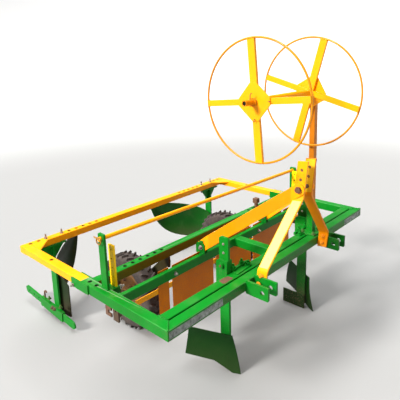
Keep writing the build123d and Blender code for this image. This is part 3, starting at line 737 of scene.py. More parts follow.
class Shape:
    """Solids collected in one mesh."""

    def __init__(self, name: str) -> None:
        """Starts an empty shape.

        Args:
            name: the piece's name.
        """
        self.name = name
        self.work = bmesh.new()

    def prism(self, outline: Sequence[Sequence[float]], along: Sequence[float]) -> None:
        """A flat outline carried along a direction into a closed solid.

        Args:
            outline: the corners in order, in place.
            along: the way and distance it is carried.
        """
        start = [self.work.verts.new(corner) for corner in outline]
        end = [self.work.verts.new(Vector(corner) + Vector(along)) for corner in outline]
        self.work.faces.new(start)
        self.work.faces.new(list(reversed(end)))
        for index, corner in enumerate(start):
            after = (index + 1) % len(start)
            self.work.faces.new([corner, end[index], end[after], start[after]])

    def box(self, low: Point, high: Point) -> None:
        """A closed box.

        Args:
            low: one corner.
            high: the corner opposite.
        """
        (x0, y0, z0), (x1, y1, z1) = low, high
        self.prism([(x0, y0, z0), (x1, y0, z0), (x1, y1, z0), (x0, y1, z0)], (0, 0, z1 - z0))

    def pierced(
        self, outline: Sequence[Sequence[float]], hole: Sequence[Sequence[float]], along: Point
    ) -> None:
        """A flat outline with a hole in it, carried along a direction into a closed plate.

        Args:
            outline: the outer corners in order, in place.
            hole: the hole's corners in order, in the same plane.
            along: the way and distance it is carried.
        """
        edges = []
        for ring in (outline, hole):
            corners = [self.work.verts.new(corner) for corner in ring]
            edges += [
                self.work.edges.new((corners[index - 1], corners[index]))
                for index in range(len(corners))
            ]
        filled = bmesh.ops.triangle_fill(self.work, use_beauty=True, edges=edges)["geom"]
        sheet = [part for part in filled if isinstance(part, bmesh.types.BMFace)]
        raised = bmesh.ops.extrude_face_region(self.work, geom=sheet)["geom"]
        corners = [part for part in raised if isinstance(part, bmesh.types.BMVert)]
        bmesh.ops.translate(self.work, verts=corners, vec=along)

    def sheet(self, rows: Sequence[Sequence[Point]], thickness: float) -> None:
        """A curved sheet through a grid of points, as a closed solid.

        Args:
            rows: the grid, row by row.
            thickness: how thick the sheet is, half on each side of the grid.
        """
        grid = [[Vector(point) for point in row] for row in rows]
        tall, wide = len(grid), len(grid[0])
        front, back = [], []
        for i in range(tall):
            front.append([])
            back.append([])
            for j in range(wide):
                along = grid[min(i + 1, tall - 1)][j] - grid[max(i - 1, 0)][j]
                up = grid[i][min(j + 1, wide - 1)] - grid[i][max(j - 1, 0)]
                way = along.cross(up).normalized() * (thickness / 2)
                front[i].append(self.work.verts.new(grid[i][j] + way))
                back[i].append(self.work.verts.new(grid[i][j] - way))
        for i in range(tall - 1):
            for j in range(wide - 1):
                for side in (front, back):
                    self.work.faces.new(
                        [side[i][j], side[i + 1][j], side[i + 1][j + 1], side[i][j + 1]]
                    )
        rim = [(i, 0) for i in range(tall)]
        rim += [(tall - 1, j) for j in range(1, wide)]
        rim += [(i, wide - 1) for i in range(tall - 2, -1, -1)]
        rim += [(0, j) for j in range(wide - 2, 0, -1)]
        for (i, j), (m, n) in zip(rim, rim[1:] + rim[:1]):
            self.work.faces.new([front[i][j], front[m][n], back[m][n], back[i][j]])

    def bar(self, path: Sequence[Sequence[float]], radius: float, sides: int = 12) -> None:
        """A round bar along a path, closed at both ends.

        Args:
            path: the centre line's points.
            radius: the bar's radius.
            sides: the section's sides.
        """
        points = [Vector(point) for point in path]
        rings = []
        up = None
        for index, point in enumerate(points):
            before = points[max(index - 1, 0)]
            after = points[min(index + 1, len(points) - 1)]
            tangent = (after - before).normalized()
            if up is None:
                up = tangent.orthogonal().normalized()
            up = (up - tangent * up.dot(tangent)).normalized()
            side = tangent.cross(up)
            rings.append(
                [
                    self.work.verts.new(point + (up * math.cos(a) + side * math.sin(a)) * radius)
                    for a in turns(sides)
                ]
            )
        self.work.faces.new(list(reversed(rings[0])))
        self.work.faces.new(rings[-1])
        for low, high in zip(rings, rings[1:]):
            for step in range(sides):
                after = (step + 1) % sides
                self.work.faces.new([low[step], low[after], high[after], high[step]])

    def lathe(
        self, profile: Sequence[tuple[float, float]], centre: Sequence[float], steps: int = 48
    ) -> None:
        """A closed profile turned about an axis along X.

        Args:
            profile: (place along X, radius) corners in order, closed.
            centre: the axis' point that x = 0 of the profile sits at.
            steps: how many steps the turn has.
        """
        origin = Vector(centre)
        rings = []
        for angle in turns(steps):
            out = Vector((0, math.cos(angle), math.sin(angle)))
            rings.append(
                [self.work.verts.new(origin + Vector((x, 0, 0)) + out * r) for x, r in profile]
            )
        for index, ring in enumerate(rings):
            other = rings[(index + 1) % steps]
            for point in range(len(profile)):
                after = (point + 1) % len(profile)
                self.work.faces.new([ring[point], ring[after], other[after], other[point]])

    def done(self, edge: float = 0.0, smooth: float = 40) -> bpy.types.Object:
        """Turns the shape into an object.

        Args:
            edge: radius for its edges, 0 to leave them.
            smooth: angle in degrees under which unrounded edges are shaded smooth.

        Returns:
            The object.
        """
        mesh = bpy.data.meshes.new(self.name)
        bmesh.ops.recalc_face_normals(self.work, faces=self.work.faces)
        self.work.to_mesh(mesh)
        self.work.free()
        made = show(self.name, mesh)
        if edge:
            soften(made, edge)
        else:
            mesh.shade_smooth()
            mesh.set_sharp_from_angle(angle=math.radians(smooth))
        return made


# Geometry Nodes


class Maker:
    """A Geometry Nodes tree with named inputs that ends in realised, painted geometry."""

    sizes: dict[str, float] = {}
    title = "maker"

    def __init__(self) -> None:
        """Builds the tree and its inputs."""
        group = bpy.data.node_groups.new(self.title, "GeometryNodeTree")
        face = group.interface
        face.new_socket("Geometry", in_out="INPUT", socket_type="NodeSocketGeometry")
        self.keys = {}
        for name in self.sizes:
            made = face.new_socket(name, in_out="INPUT", socket_type="NodeSocketFloat")
            self.keys[name] = made.identifier
        seed = face.new_socket("Seed", in_out="INPUT", socket_type="NodeSocketInt")
        paint = face.new_socket("Finish", in_out="INPUT", socket_type="NodeSocketMaterial")
        self.keys["Seed"] = seed.identifier
        self.keys["Finish"] = paint.identifier
        face.new_socket("Geometry", in_out="OUTPUT", socket_type="NodeSocketGeometry")
        self.group = group
        self.tree = Tree(group)
        self.given = self.tree.node("NodeGroupInput")
        body = self.grow()
        whole = self.tree.value("GeometryNodeRealizeInstances", {}, {0: body})
        painted = self.tree.value(
            "GeometryNodeSetMaterial", {}, {"Geometry": whole, "Material": self.size("Finish")}
        )
        self.tree.node("NodeGroupOutput", {}, {0: painted})

    def size(self, name: str) -> Value:
        """One of the tree's own inputs.

        Args:
            name: the input's name.

        Returns:
            The input as a value.
        """
        return Value(self.tree, self.given.outputs[name])

    def grow(self) -> Value:
        """Adds the nodes that make the shape; each maker has its own.

        Returns:
            The geometry to realise.
        """
        raise NotImplementedError

    def vector(self, x: Number, y: Number, z: Number) -> Value:
        """Three values as one vector.

        Args:
            x: its first part.
            y: its second part.
            z: its third part.

        Returns:
            The vector.
        """
        return self.tree.value("ShaderNodeCombineXYZ", {}, {0: x, 1: y, 2: z})

    def placed(self, shape: Value, **moved: "Value | Point") -> Value:
        """A shape that is moved, turned or scaled.

        Args:
            shape: the geometry.
            moved: its Translation, Rotation or Scale.

        Returns:
            The placed geometry.
        """
        return self.tree.value("GeometryNodeTransform", {}, {"Geometry": shape, **moved})

    def lifted(self, shape: Value, lift: Value) -> Value:
        """A shape lifted along Z.

        Args:
            shape: the geometry.
            lift: how far.

        Returns:
            The lifted geometry.
        """
        return self.placed(shape, Translation=self.vector(0, 0, lift))

    def joined(self, shapes: Sequence[Value]) -> Value:
        """Several shapes as one.

        Args:
            shapes: the geometries.

        Returns:
            The joined geometry.
        """
        node = self.tree.node("GeometryNodeJoinGeometry")
        for shape in shapes:
            self.tree.nodes.links.new(shape.socket, node.inputs[0])
        return Value(self.tree, node.outputs[0])

    def instances(self, points: Value, shape: Value, **turned: Value) -> Value:
        """A shape set on every point.

        Args:
            points: the points.
            shape: what is set on them.
            turned: the Rotation or Scale of each.

        Returns:
            The instances.
        """
        sockets = {"Points": points, "Instance": shape, **turned}
        return self.tree.value("GeometryNodeInstanceOnPoints", {}, sockets)

    def make(
        self, name: str, carrier: bpy.types.Mesh, finish: Finish, seed: int, **changed: float
    ) -> bpy.types.Object:
        """Runs the tree on a carrier mesh and keeps the result as a plain object.

        Args:
            name: the piece's name.
            carrier: the mesh that the tree reads.
            finish: the finish it ends in.
            seed: the seed for what is random.
            changed: sizes other than the usual ones, with underscores for spaces.

        Returns:
            The piece.
        """
        holder = show(f"{name}_carrier", carrier)
        modifier = holder.modifiers.new(self.title, "NODES")
        modifier.node_group = self.group
        wanted = {**self.sizes, **{k.replace("_", " "): v for k, v in changed.items()}}
        for key, value in wanted.items():
            modifier[self.keys[key]] = value
        modifier[self.keys["Seed"]] = seed
        modifier[self.keys["Finish"]] = finish.material()
        graph = bpy.context.evaluated_depsgraph_get()
        mesh = bpy.data.meshes.new_from_object(holder.evaluated_get(graph))
        mesh.name = name
        holder.modifiers.remove(modifier)
        bpy.data.objects.remove(holder)
        mesh.shade_smooth()
        mesh.set_sharp_from_angle(angle=CREASE_ANGLE)
        return show(name, mesh)


def spots(places: Sequence[tuple[Sequence[float], Sequence[float]]], seed: int) -> bpy.types.Mesh:
    """A carrier of loose points, each with the way it faces and a turn about it.

    Args:
        places: (place, way it faces) pairs.
        seed: the seed for the turns.

    Returns:
        The mesh.
    """
    chance = random.Random(seed)
    mesh = bpy.data.meshes.new("spots")
    mesh.from_pydata([place for place, way in places], [], [])
    mesh.attributes.new("facing", "FLOAT_VECTOR", "POINT")
    mesh.attributes.new("turn", "FLOAT", "POINT")
    facing, turn = mesh.attributes["facing"], mesh.attributes["turn"]
    for index, (place, way) in enumerate(places):
        facing.data[index].vector = way
        turn.data[index].value = chance.uniform(0, math.tau)
    return mesh


class Fasteners(Maker):
    """Hexagon heads on washers, with the end of the thread standing out."""

    title = "fasteners"
    crown = 0.22
    sizes = {
        "Head Radius": 0.0095,
        "Head Height": 0.007,
        "Washer Radius": 0.0125,
        "Washer Height": 0.002,
        "Stub Radius": 0.005,
        "Stub Length": 0.005,
    }

    def cylinder(self, part: str, depth: str, vertices: int) -> Value:
        """A cylinder about Z in two of the tree's sizes.

        Args:
            part: the part whose radius it takes.
            depth: the input that gives its depth.
            vertices: how many sides it has.

        Returns:
            The cylinder.
        """
        sockets = {"Vertices": vertices, "Radius": self.size(f"{part} Radius"), "Depth": self.size(depth)}
        return self.tree.value("GeometryNodeMeshCylinder", {}, sockets)

    def grow(self) -> Value:
        """A washer, a head with a chamfered top and a stub, set on every point.

        Returns:
            The instances.
        """
        washer_height, head_height = self.size("Washer Height"), self.size("Head Height")
        washer = self.lifted(self.cylinder("Washer", "Washer Height", 20), washer_height * 0.5)
        head = self.lifted(self.cylinder("Head", "Head Height", 6), washer_height + head_height * 0.5)
        crown = self.tree.value(
            "GeometryNodeMeshCone",
            {},
            {
                "Vertices": 12,
                "Radius Top": self.size("Head Radius") * 0.72,
                "Radius Bottom": self.size("Head Radius") * 0.86,
                "Depth": head_height * self.crown,
            },
        )
        crown = self.lifted(crown, washer_height + head_height)
        top = washer_height + head_height + head_height * self.crown
        stub = self.lifted(self.cylinder("Stub", "Stub Length", 12), top + self.size("Stub Length") * 0.5)
        whole = self.joined([washer, head, crown, stub])
        facing = self.tree.value(
            "GeometryNodeInputNamedAttribute", {"data_type": "FLOAT_VECTOR"}, {"Name": "facing"}
        )
        turn = self.tree.value(
            "GeometryNodeInputNamedAttribute", {"data_type": "FLOAT"}, {"Name": "turn"}
        )
        about = self.vector(0, 0, turn)
        aligned = self.tree.value(
            "FunctionNodeAlignRotationToVector", {"axis": "Z"}, {"Vector": facing}
        )
        placed = self.tree.value(
            "FunctionNodeRotateRotation",
            {"rotation_space": "LOCAL"},
            {"Rotation": aligned, "Rotate By": about},
        )
        return self.instances(self.size("Geometry"), whole, Rotation=placed)


class WeldBeads(Maker):
    """Overlapping beads of weld along the carrier's lines."""

    title = "weld_beads"
    sizes = {"Bead Radius": 0.0036, "Step": 0.0042}
    smallest, largest = 0.82, 1.2

    def grow(self) -> Value:
        """Beads at even steps, each a little different in size.

        Returns:
            The instances.
        """
        line = self.tree.value("GeometryNodeMeshToCurve", {}, {0: self.size("Geometry")})
        stepped = self.tree.value(
            "GeometryNodeResampleCurve", {"mode": "LENGTH"}, {"Curve": line, "Length": self.size("Step")}
        )
        bead = self.tree.value(
            "GeometryNodeMeshIcoSphere", {}, {"Radius": self.size("Bead Radius"), "Subdivisions": 2}
        )
        limits = {2: self.smallest, 3: self.largest, "Seed": self.size("Seed")}
        spread = self.tree.value("FunctionNodeRandomValue", {"data_type": "FLOAT"}, limits, 1)
        return self.instances(stepped, bead, Scale=spread)


class TyreLugs(Maker):
    """Two rows of slanted lugs round a tyre, turned about an axis along X."""

    title = "tyre_lugs"
    sizes = {
        "Count": 30.0,
        "Tread Radius": 0.214,
        "Lug Length": 0.046,
        "Lug Width": 0.0098,
        "Lug Height": 0.0075,
        "Slant": 0.489,
        "Offset": 0.025,
    }
    top_radius, base_radius = 0.56, 0.72
    stagger = 0.25

    def row(self, side: int) -> Value:
        """One row of lugs.

        Args:
            side: +1 for the row on the +X side, -1 for the other.

        Returns:
            The row's instances.
        """
        block = self.tree.value(
            "GeometryNodeMeshCone",
            {},
            {"Vertices": 4, "Radius Top": self.top_radius, "Radius Bottom": self.base_radius, "Depth": 1.0},
        )
        quarter = self.placed(block, Rotation=(0, 0, math.pi / 4))
        height = self.size("Lug Height") * 2
        extent = self.vector(self.size("Lug Length"), self.size("Lug Width"), height)
        shaped = self.placed(quarter, Scale=extent)
        lean = self.vector(0, 0, self.size("Slant") * side)
        place = self.vector(self.size("Offset") * side, 0, self.size("Tread Radius") - height)
        lug = self.placed(shaped, Rotation=lean, Translation=place)
        index = self.tree.value("GeometryNodeInputIndex", {}, {})
        turned = self.vector((index + side * self.stagger) * math.tau * self._share(), 0, 0)
        ring = self.tree.value("GeometryNodePoints", {}, {"Count": self.size("Count")})
        return self.instances(ring, lug, Rotation=turned)

    def _share(self) -> Value:
        """One lug's share of a turn."""
        return self.tree.value(
            "ShaderNodeMath", {"operation": "DIVIDE"}, {0: 1.0, 1: self.size("Count")}
        )

    def grow(self) -> Value:
        """Both rows.

        Returns:
            The instances.
        """
        return self.joined([self.row(1), self.row(-1)])


def lines(runs: Sequence[Sequence[Sequence[float]]]) -> bpy.types.Mesh:
    """A carrier of open lines.

    Args:
        runs: the points of each line.

    Returns:
        The mesh.
    """
    points, edges = [], []
    for run in runs:
        first = len(points)
        points += [tuple(point) for point in run]
        edges += [(first + index, first + index + 1) for index in range(len(run) - 1)]
    mesh = bpy.data.meshes.new("lines")
    mesh.from_pydata(points, edges, [])
    return mesh


@dataclass
class Makers:
    """The Geometry Nodes trees, made once, and the pieces that come from them."""

    fasteners: Fasteners
    welds: WeldBeads
    lugs: TyreLugs

    def bolts(
        self, name: str, places: Sequence[tuple[Point, Point]], finish: Finish, slot: Slot, seed: int,
        body: Body = Body.FRAME, **changed: float,
    ) -> None:
        """Fasteners at places, fitted as one piece.

        Args:
            name: the piece's name.
            places: (place, way it faces) pairs.
            finish: the fasteners' finish.
            slot: not used.
            seed: the seed for how each one is turned.
            body: what they ride on.
            changed: sizes other than the usual ones.
        """
        fit(self.fasteners.make(name, spots(places, seed), finish, seed, **changed), finish, body)

    def beads(
        self, name: str, runs: Sequence[Sequence[Point]], finish: Finish, slot: Slot, seed: int,
        body: Body = Body.FRAME, **changed: float,
    ) -> None:
        """Weld beads along lines, fitted as one piece.

        Args:
            name: the piece's name.
            runs: the points of each line.
            finish: the beads' finish.
            slot: not used.
            seed: the seed for the beads' sizes.
            body: what they ride on.
            changed: sizes other than the usual ones.
        """
        fit(self.welds.make(name, lines(runs), finish, seed, **changed), finish, body)


# Sub-assemblies


def both(place: Point, way: Point) -> list[tuple[Point, Point]]:
    """A spot and its mirror image across the machine.

    Args:
        place: the spot on the left-hand side.
        way: the way it faces.

    Returns:
        The two (place, way) pairs.
    """
    return [(place, way), ((-place[0], *place[1:]), (-way[0], *way[1:]))]


def eased(points: Sequence[tuple[float, float]], reach: float) -> list[tuple[float, float]]:
    """A line in a plane with its inner corners rounded.

    Args:
        points: the line's corners.
        reach: how far from a corner its rounding starts.

    Returns:
        The rounded line's points.
    """
    eased_line = [points[0]]
    steps = 4
    for before, corner, after in zip(points, points[1:], points[2:]):
        middle = Vector(corner)
        start = middle + (Vector(before) - middle).normalized() * reach
        end = middle + (Vector(after) - middle).normalized() * reach
        for step in range(steps + 1):
            t = step / steps
            place = start * (1 - t) ** 2 + middle * (2 * t * (1 - t)) + end * t**2
            eased_line.append((place.x, place.y))
    return [*eased_line, points[-1]]


DISC_RADIUS = 0.0067
DISC_TOP = 0.0015
DISC_BOTTOM = 0.0035
SHADE_RING_RADII = (0.0102, 0.0060)


def hole_painted_shades(name: str, places: Sequence[tuple[float, float]]) -> None:
    """Dark discs that paint the shade inside upright bolt holes just under the frame's top, and dark rings
    of painted shade round their rims.

    Args:
        name: the piece's name.
        places: the holes' (x, y) places.
    """
    shape = Shape(name)
    for x, y in places:
        shape.bar([(x, y, FRAME_TOP - DISC_BOTTOM), (x, y, FRAME_TOP - DISC_TOP)], DISC_RADIUS, 12)
        outer, inner = (
            [(x + radius * math.cos(a), y + radius * math.sin(a), FRAME_TOP) for a in turns(20)]
            for radius in SHADE_RING_RADII
        )
        shape.pierced(outer, inner, (0, 0, FILM))
    fit(shape.done(), HOLE_PAINTED_SHADE)


@dataclass
class MainFrame:
    """The rectangle of square tube with its splices, welds, bolts and strips."""

    makers: Makers
    front: float = -0.6645
    top: float = FRAME_TOP
    bottom: float = 0.480
    half_width: float = 0.875
    inner: float = 0.825
    second_front: float = -0.6065
    second_back: float = -0.5565
    mid_front: float = -0.3195
    mid_back: float = -0.2945
    rear_front: float = -0.1295
    rear_back: float = -0.0795
    corner: float = 0.0045
    tube_x: float = 0.850
    hole_row_x: float = 0.519
    hole_row_y: float = -0.1045
    hole_step: float = 0.05
    side_hole_ys: tuple[float, float] = (-0.1565, -0.1015)
    pin_x: float = 0.481
    pivot_y: float = -0.526
    pivot_z: float = 0.570
    clamp_plate: float = 0.0055
    clamp_ridge: float = 0.010

    def build(self) -> None:
        """Dresses the tubes and adds what they carry."""
        for node in ("toolbar_rear_tube", "mid_cross_member", "centre_tie_tube"):
            Dressed(node, GREEN, Slot.GREEN, corner=self.corner).build()
        # The front, side and rear cross tubes carry a painted highlight along their upper edges.
        for node in ("toolbar_front_tube", "side_tube_left", "side_tube_right"):
            Dressed(node, GREEN_HIGHLIGHTED, Slot.GREEN, corner=self.corner).build()
        Dressed("rear_cross_tube", GREEN_OLIVE, Slot.GREEN, corner=self.corner).build()
        for node in ("side_splice_left", "side_splice_right"):
            Dressed(node, GREEN, Slot.GREEN, edge=0.0014).build()
        self.weld()
        self.bolt()
        self.strips()
        self.drawbar_pin()
        self.rust_patch()
        self.clamp_plates()
        # Dark discs paint the shade inside the frame's bolt holes.
        reaches = [self.hole_row_x + self.hole_step * (k - 2.5) for k in range(6)]
        holes = [(side * reach, self.hole_row_y) for side in SIDES for reach in reaches]
        holes += [(side * self.tube_x, y) for side in SIDES for y in self.side_hole_ys]
        hole_painted_shades("frame_hole_depths", holes)

    def rust_patch(self) -> None:
        """Bare rust where paint has come off the rear tube of the toolbar."""
        shape = Shape("toolbar_rust_patch")
        middle_x, middle_y, reach_x, reach_y = -0.425, -0.583, 0.037, 0.0195
        chance = random.Random(4)
        outline = []
        for angle in turns(26):
            c, s = math.cos(angle), math.sin(angle)
            grow = chance.uniform(0.88, 1.04) / (c**4 + s**4) ** 0.25
            outline.append((middle_x + reach_x * c * grow, middle_y + reach_y * s * grow, self.top))
        shape.prism(outline, (0, 0, FILM))
        fit(shape.done(), PATCH)

    def clamp_plates(self) -> None:
        """Plates that clamp the front sockets to the toolbar, with their bolts and pivot bosses."""
        shape = Shape("socket_clamp_plates")
        bolts = []
        base = self.top
        step = base + self.clamp_plate
        ridge = step + self.clamp_ridge
        cheek_low, cheek_high, cheek_front, cheek_back = 0.550, 0.596, -0.5575, -0.4875
        boss = [(0.0, 0.006), (0.0, 0.015), (0.012, 0.0135), (0.012, 0.006)]
        for side in SIDES:
            near, far = side * 0.352, side * 0.226
            for low, fronts, back, thick in (
                (base, (-0.598, -0.590), -0.548, self.clamp_plate),
                (step, (-0.566, -0.562), -0.550, self.clamp_ridge),
            ):
                shape.prism(
                    [(near, fronts[0], low), (far, fronts[1], low), (far, back, low), (near, back, low)],
                    (0, 0, thick),
                )
            inner, outer = side * 0.3455, side * 0.3845
            profile = (
                (cheek_front, cheek_low), (cheek_back, cheek_low), (cheek_back, cheek_high - 0.014),
                (-0.505, cheek_high), (cheek_front, cheek_high),
            )
            shape.prism([(inner, y, z) for y, z in profile], (outer - inner, 0, 0))
            shape.lathe([(side * x, r) for x, r in boss], (outer, self.pivot_y, self.pivot_z), 28)
            for x, y, z in ((0.338, -0.558, ridge), (0.270, -0.556, ridge), (0.245, -0.580, step)):
                bolts.append(((side * x, y, z), (0, 0, 1)))
        fit(shape.done(edge=0.0012), GREEN_WELD)
        self.makers.bolts(
            "socket_clamp_bolts", bolts, GREEN_WELD, Slot.GREEN, 15, Head_Radius=0.0115,
            Head_Height=0.011, Washer_Radius=0.014, Stub_Radius=0.006, Stub_Length=0.010,
        )
        pins = [((side * 0.3905, self.pivot_y, self.pivot_z), (side, 0, 0)) for side in SIDES]
        self.makers.bolts(
            "socket_pivot_pins", pins, BROWN, Slot.STEEL, 16, Head_Radius=0.0075, Head_Height=0.004,
            Washer_Radius=0.0085, Stub_Length=0.003,
        )

    def weld(self) -> None:
        """Beads of weld where the tubes meet."""
        runs = []
        for side in SIDES:
            outer, inner = side * self.half_width, side * self.inner
            runs.append([(outer - side * 0.002, self.front + 0.002, self.top + 0.0004),
                         (inner, self.second_front - 0.008, self.top + 0.0004)])
            for start, end in (
                (self.second_front, self.second_back),
                (self.mid_front, self.mid_back),
                (self.rear_front, self.rear_back),
            ):
                runs.append([(inner - side * 0.001, start, self.bottom + 0.002),
                             (inner - side * 0.001, start, self.top - 0.002)])
                runs.append([(inner, start + 0.003, self.top), (inner, end - 0.003, self.top)])
                runs.append([(inner - side * 0.001, end, self.bottom + 0.002),
                             (inner - side * 0.001, end, self.top - 0.002)])
        for x in (-0.025, 0.025):
            for y in (self.second_back + 0.001, self.mid_front - 0.001):
                runs.append([(x, y, self.bottom), (x, y, self.top)])
        for y in (self.second_back, self.mid_front):
            runs.append([(-0.022, y, self.top), (0.022, y, self.top)])
        self.makers.beads("frame_weld_beads", runs, GREEN_WELD, Slot.GREEN, 3)

    def bolt(self) -> None:
        """Bolts through the splices and the mid member."""
        splice = 0.006
        places = both((self.half_width + splice, 0.0005, 0.490), (1, 0, 0))
        places += [((x, self.mid_front, 0.503), (0, -1, 0)) for x in (-0.499, 0.206)]
        self.makers.bolts(
            "frame_bolts", places, ZINC, Slot.STEEL, 5, Head_Radius=0.0075, Washer_Radius=0.0095
        )

    def strips(self) -> None:
        """Blank grey strips on the toolbar's front face, one towards each end."""
        shape = Shape("toolbar_blank_strips")
        front, thick, low, high = self.front - 0.0004, 0.0006, 0.4885, 0.5205
        for start, end in ((-0.868, -0.545), (0.640, 0.868)):
            shape.box((start, front, low), (end, front + thick, high))
        fit(shape.done(), GREY_STRIP)

    def drawbar_pin(self) -> None:
        """A loose square-headed pin left standing in the rear cross tube."""
        shape = Shape("rear_tube_pin")
        x, y = self.pin_x, self.hole_row_y
        for half, low, high in ((0.0095, 0.526, 0.564), (0.017, 0.558, 0.590)):
            shape.box((x - half, y - half, low), (x + half, y + half, high))
        fit(shape.done(edge=0.0018), BROWN)


@dataclass
class RearFrame:
    """The yellow side bars and beam, with the studs of the rear shanks."""

    makers: Makers
    beam_front: float = 0.5115
    beam_back: float = 0.5615
    beam_bottom: float = 0.490
    top: float = FRAME_TOP
    shank_nuts_z: float = 0.480
    stud_xs: tuple[float, float] = (0.625, 0.729)
    hole_row_x: float = 0.475
    hole_step: float = 0.05
    end_hole_xs: tuple[float, float] = (0.774, 0.824)
    bar_hole: tuple[float, float] = (0.850, 0.2535)

    @property
    def middle(self) -> float:
        """The beam's middle line along Y."""
        return (self.beam_front + self.beam_back) / 2

    def build(self) -> None:
        """Dresses the bars, then adds welds, studs, end caps and painted shade in the holes."""
        for node in ("rear_side_bar_left", "rear_side_bar_right", "rear_beam"):
            Dressed(node, YELLOW, Slot.YELLOW, corner=0.004).build()
        y, z = self.beam_front, self.beam_bottom
        runs = [[(side * 0.872, y, z), (side * 0.828, y, z)] for side in SIDES]
        self.makers.beads("beam_weld_beads", runs, YELLOW_WELD, Slot.YELLOW, 8)
        self.studs()
        self.end_caps()
        reaches = [self.hole_row_x + self.hole_step * (k - 2) for k in range(5)]
        holes = [(side * x, self.middle) for side in SIDES for x in reaches]
        holes += [(side * x, self.middle) for side in SIDES for x in self.end_hole_xs]
        holes += [(side * self.bar_hole[0], self.bar_hole[1]) for side in SIDES]
        hole_painted_shades("rear_frame_hole_depths", holes)

    def studs(self) -> None:
        """Studs that hold each rear shank's head under the beam, with their nuts above and below."""
        above = []
        for x in self.stud_xs:
            above += both((x, self.middle, self.top), (0, 0, 1))
        self.makers.bolts(
            "rear_shank_studs", above, SHAFT, Slot.STEEL, 9, Head_Radius=0.0085,
            Washer_Radius=0.0115, Stub_Radius=0.0048, Stub_Length=0.017,
        )
        below = [((x, y, self.shank_nuts_z), (0, 0, -1)) for (x, y, z), way in above]
        self.makers.bolts(
            "rear_shank_nuts", below, SHAFT, Slot.STEEL, 10, Head_Radius=0.0085, Stub_Length=0.004
        )

    def end_caps(self) -> None:
        """Plates that close the beam's open ends."""
        shape = Shape("beam_end_caps")
        inset, start, end = 0.0016, 0.8705, 0.8757
        front, back = self.beam_front + inset, self.beam_back - inset
        for side in SIDES:
            shape.box((side * start, front, self.beam_bottom + inset), (side * end, back, self.top - inset))
        fit(shape.done(edge=0.0012), YELLOW)


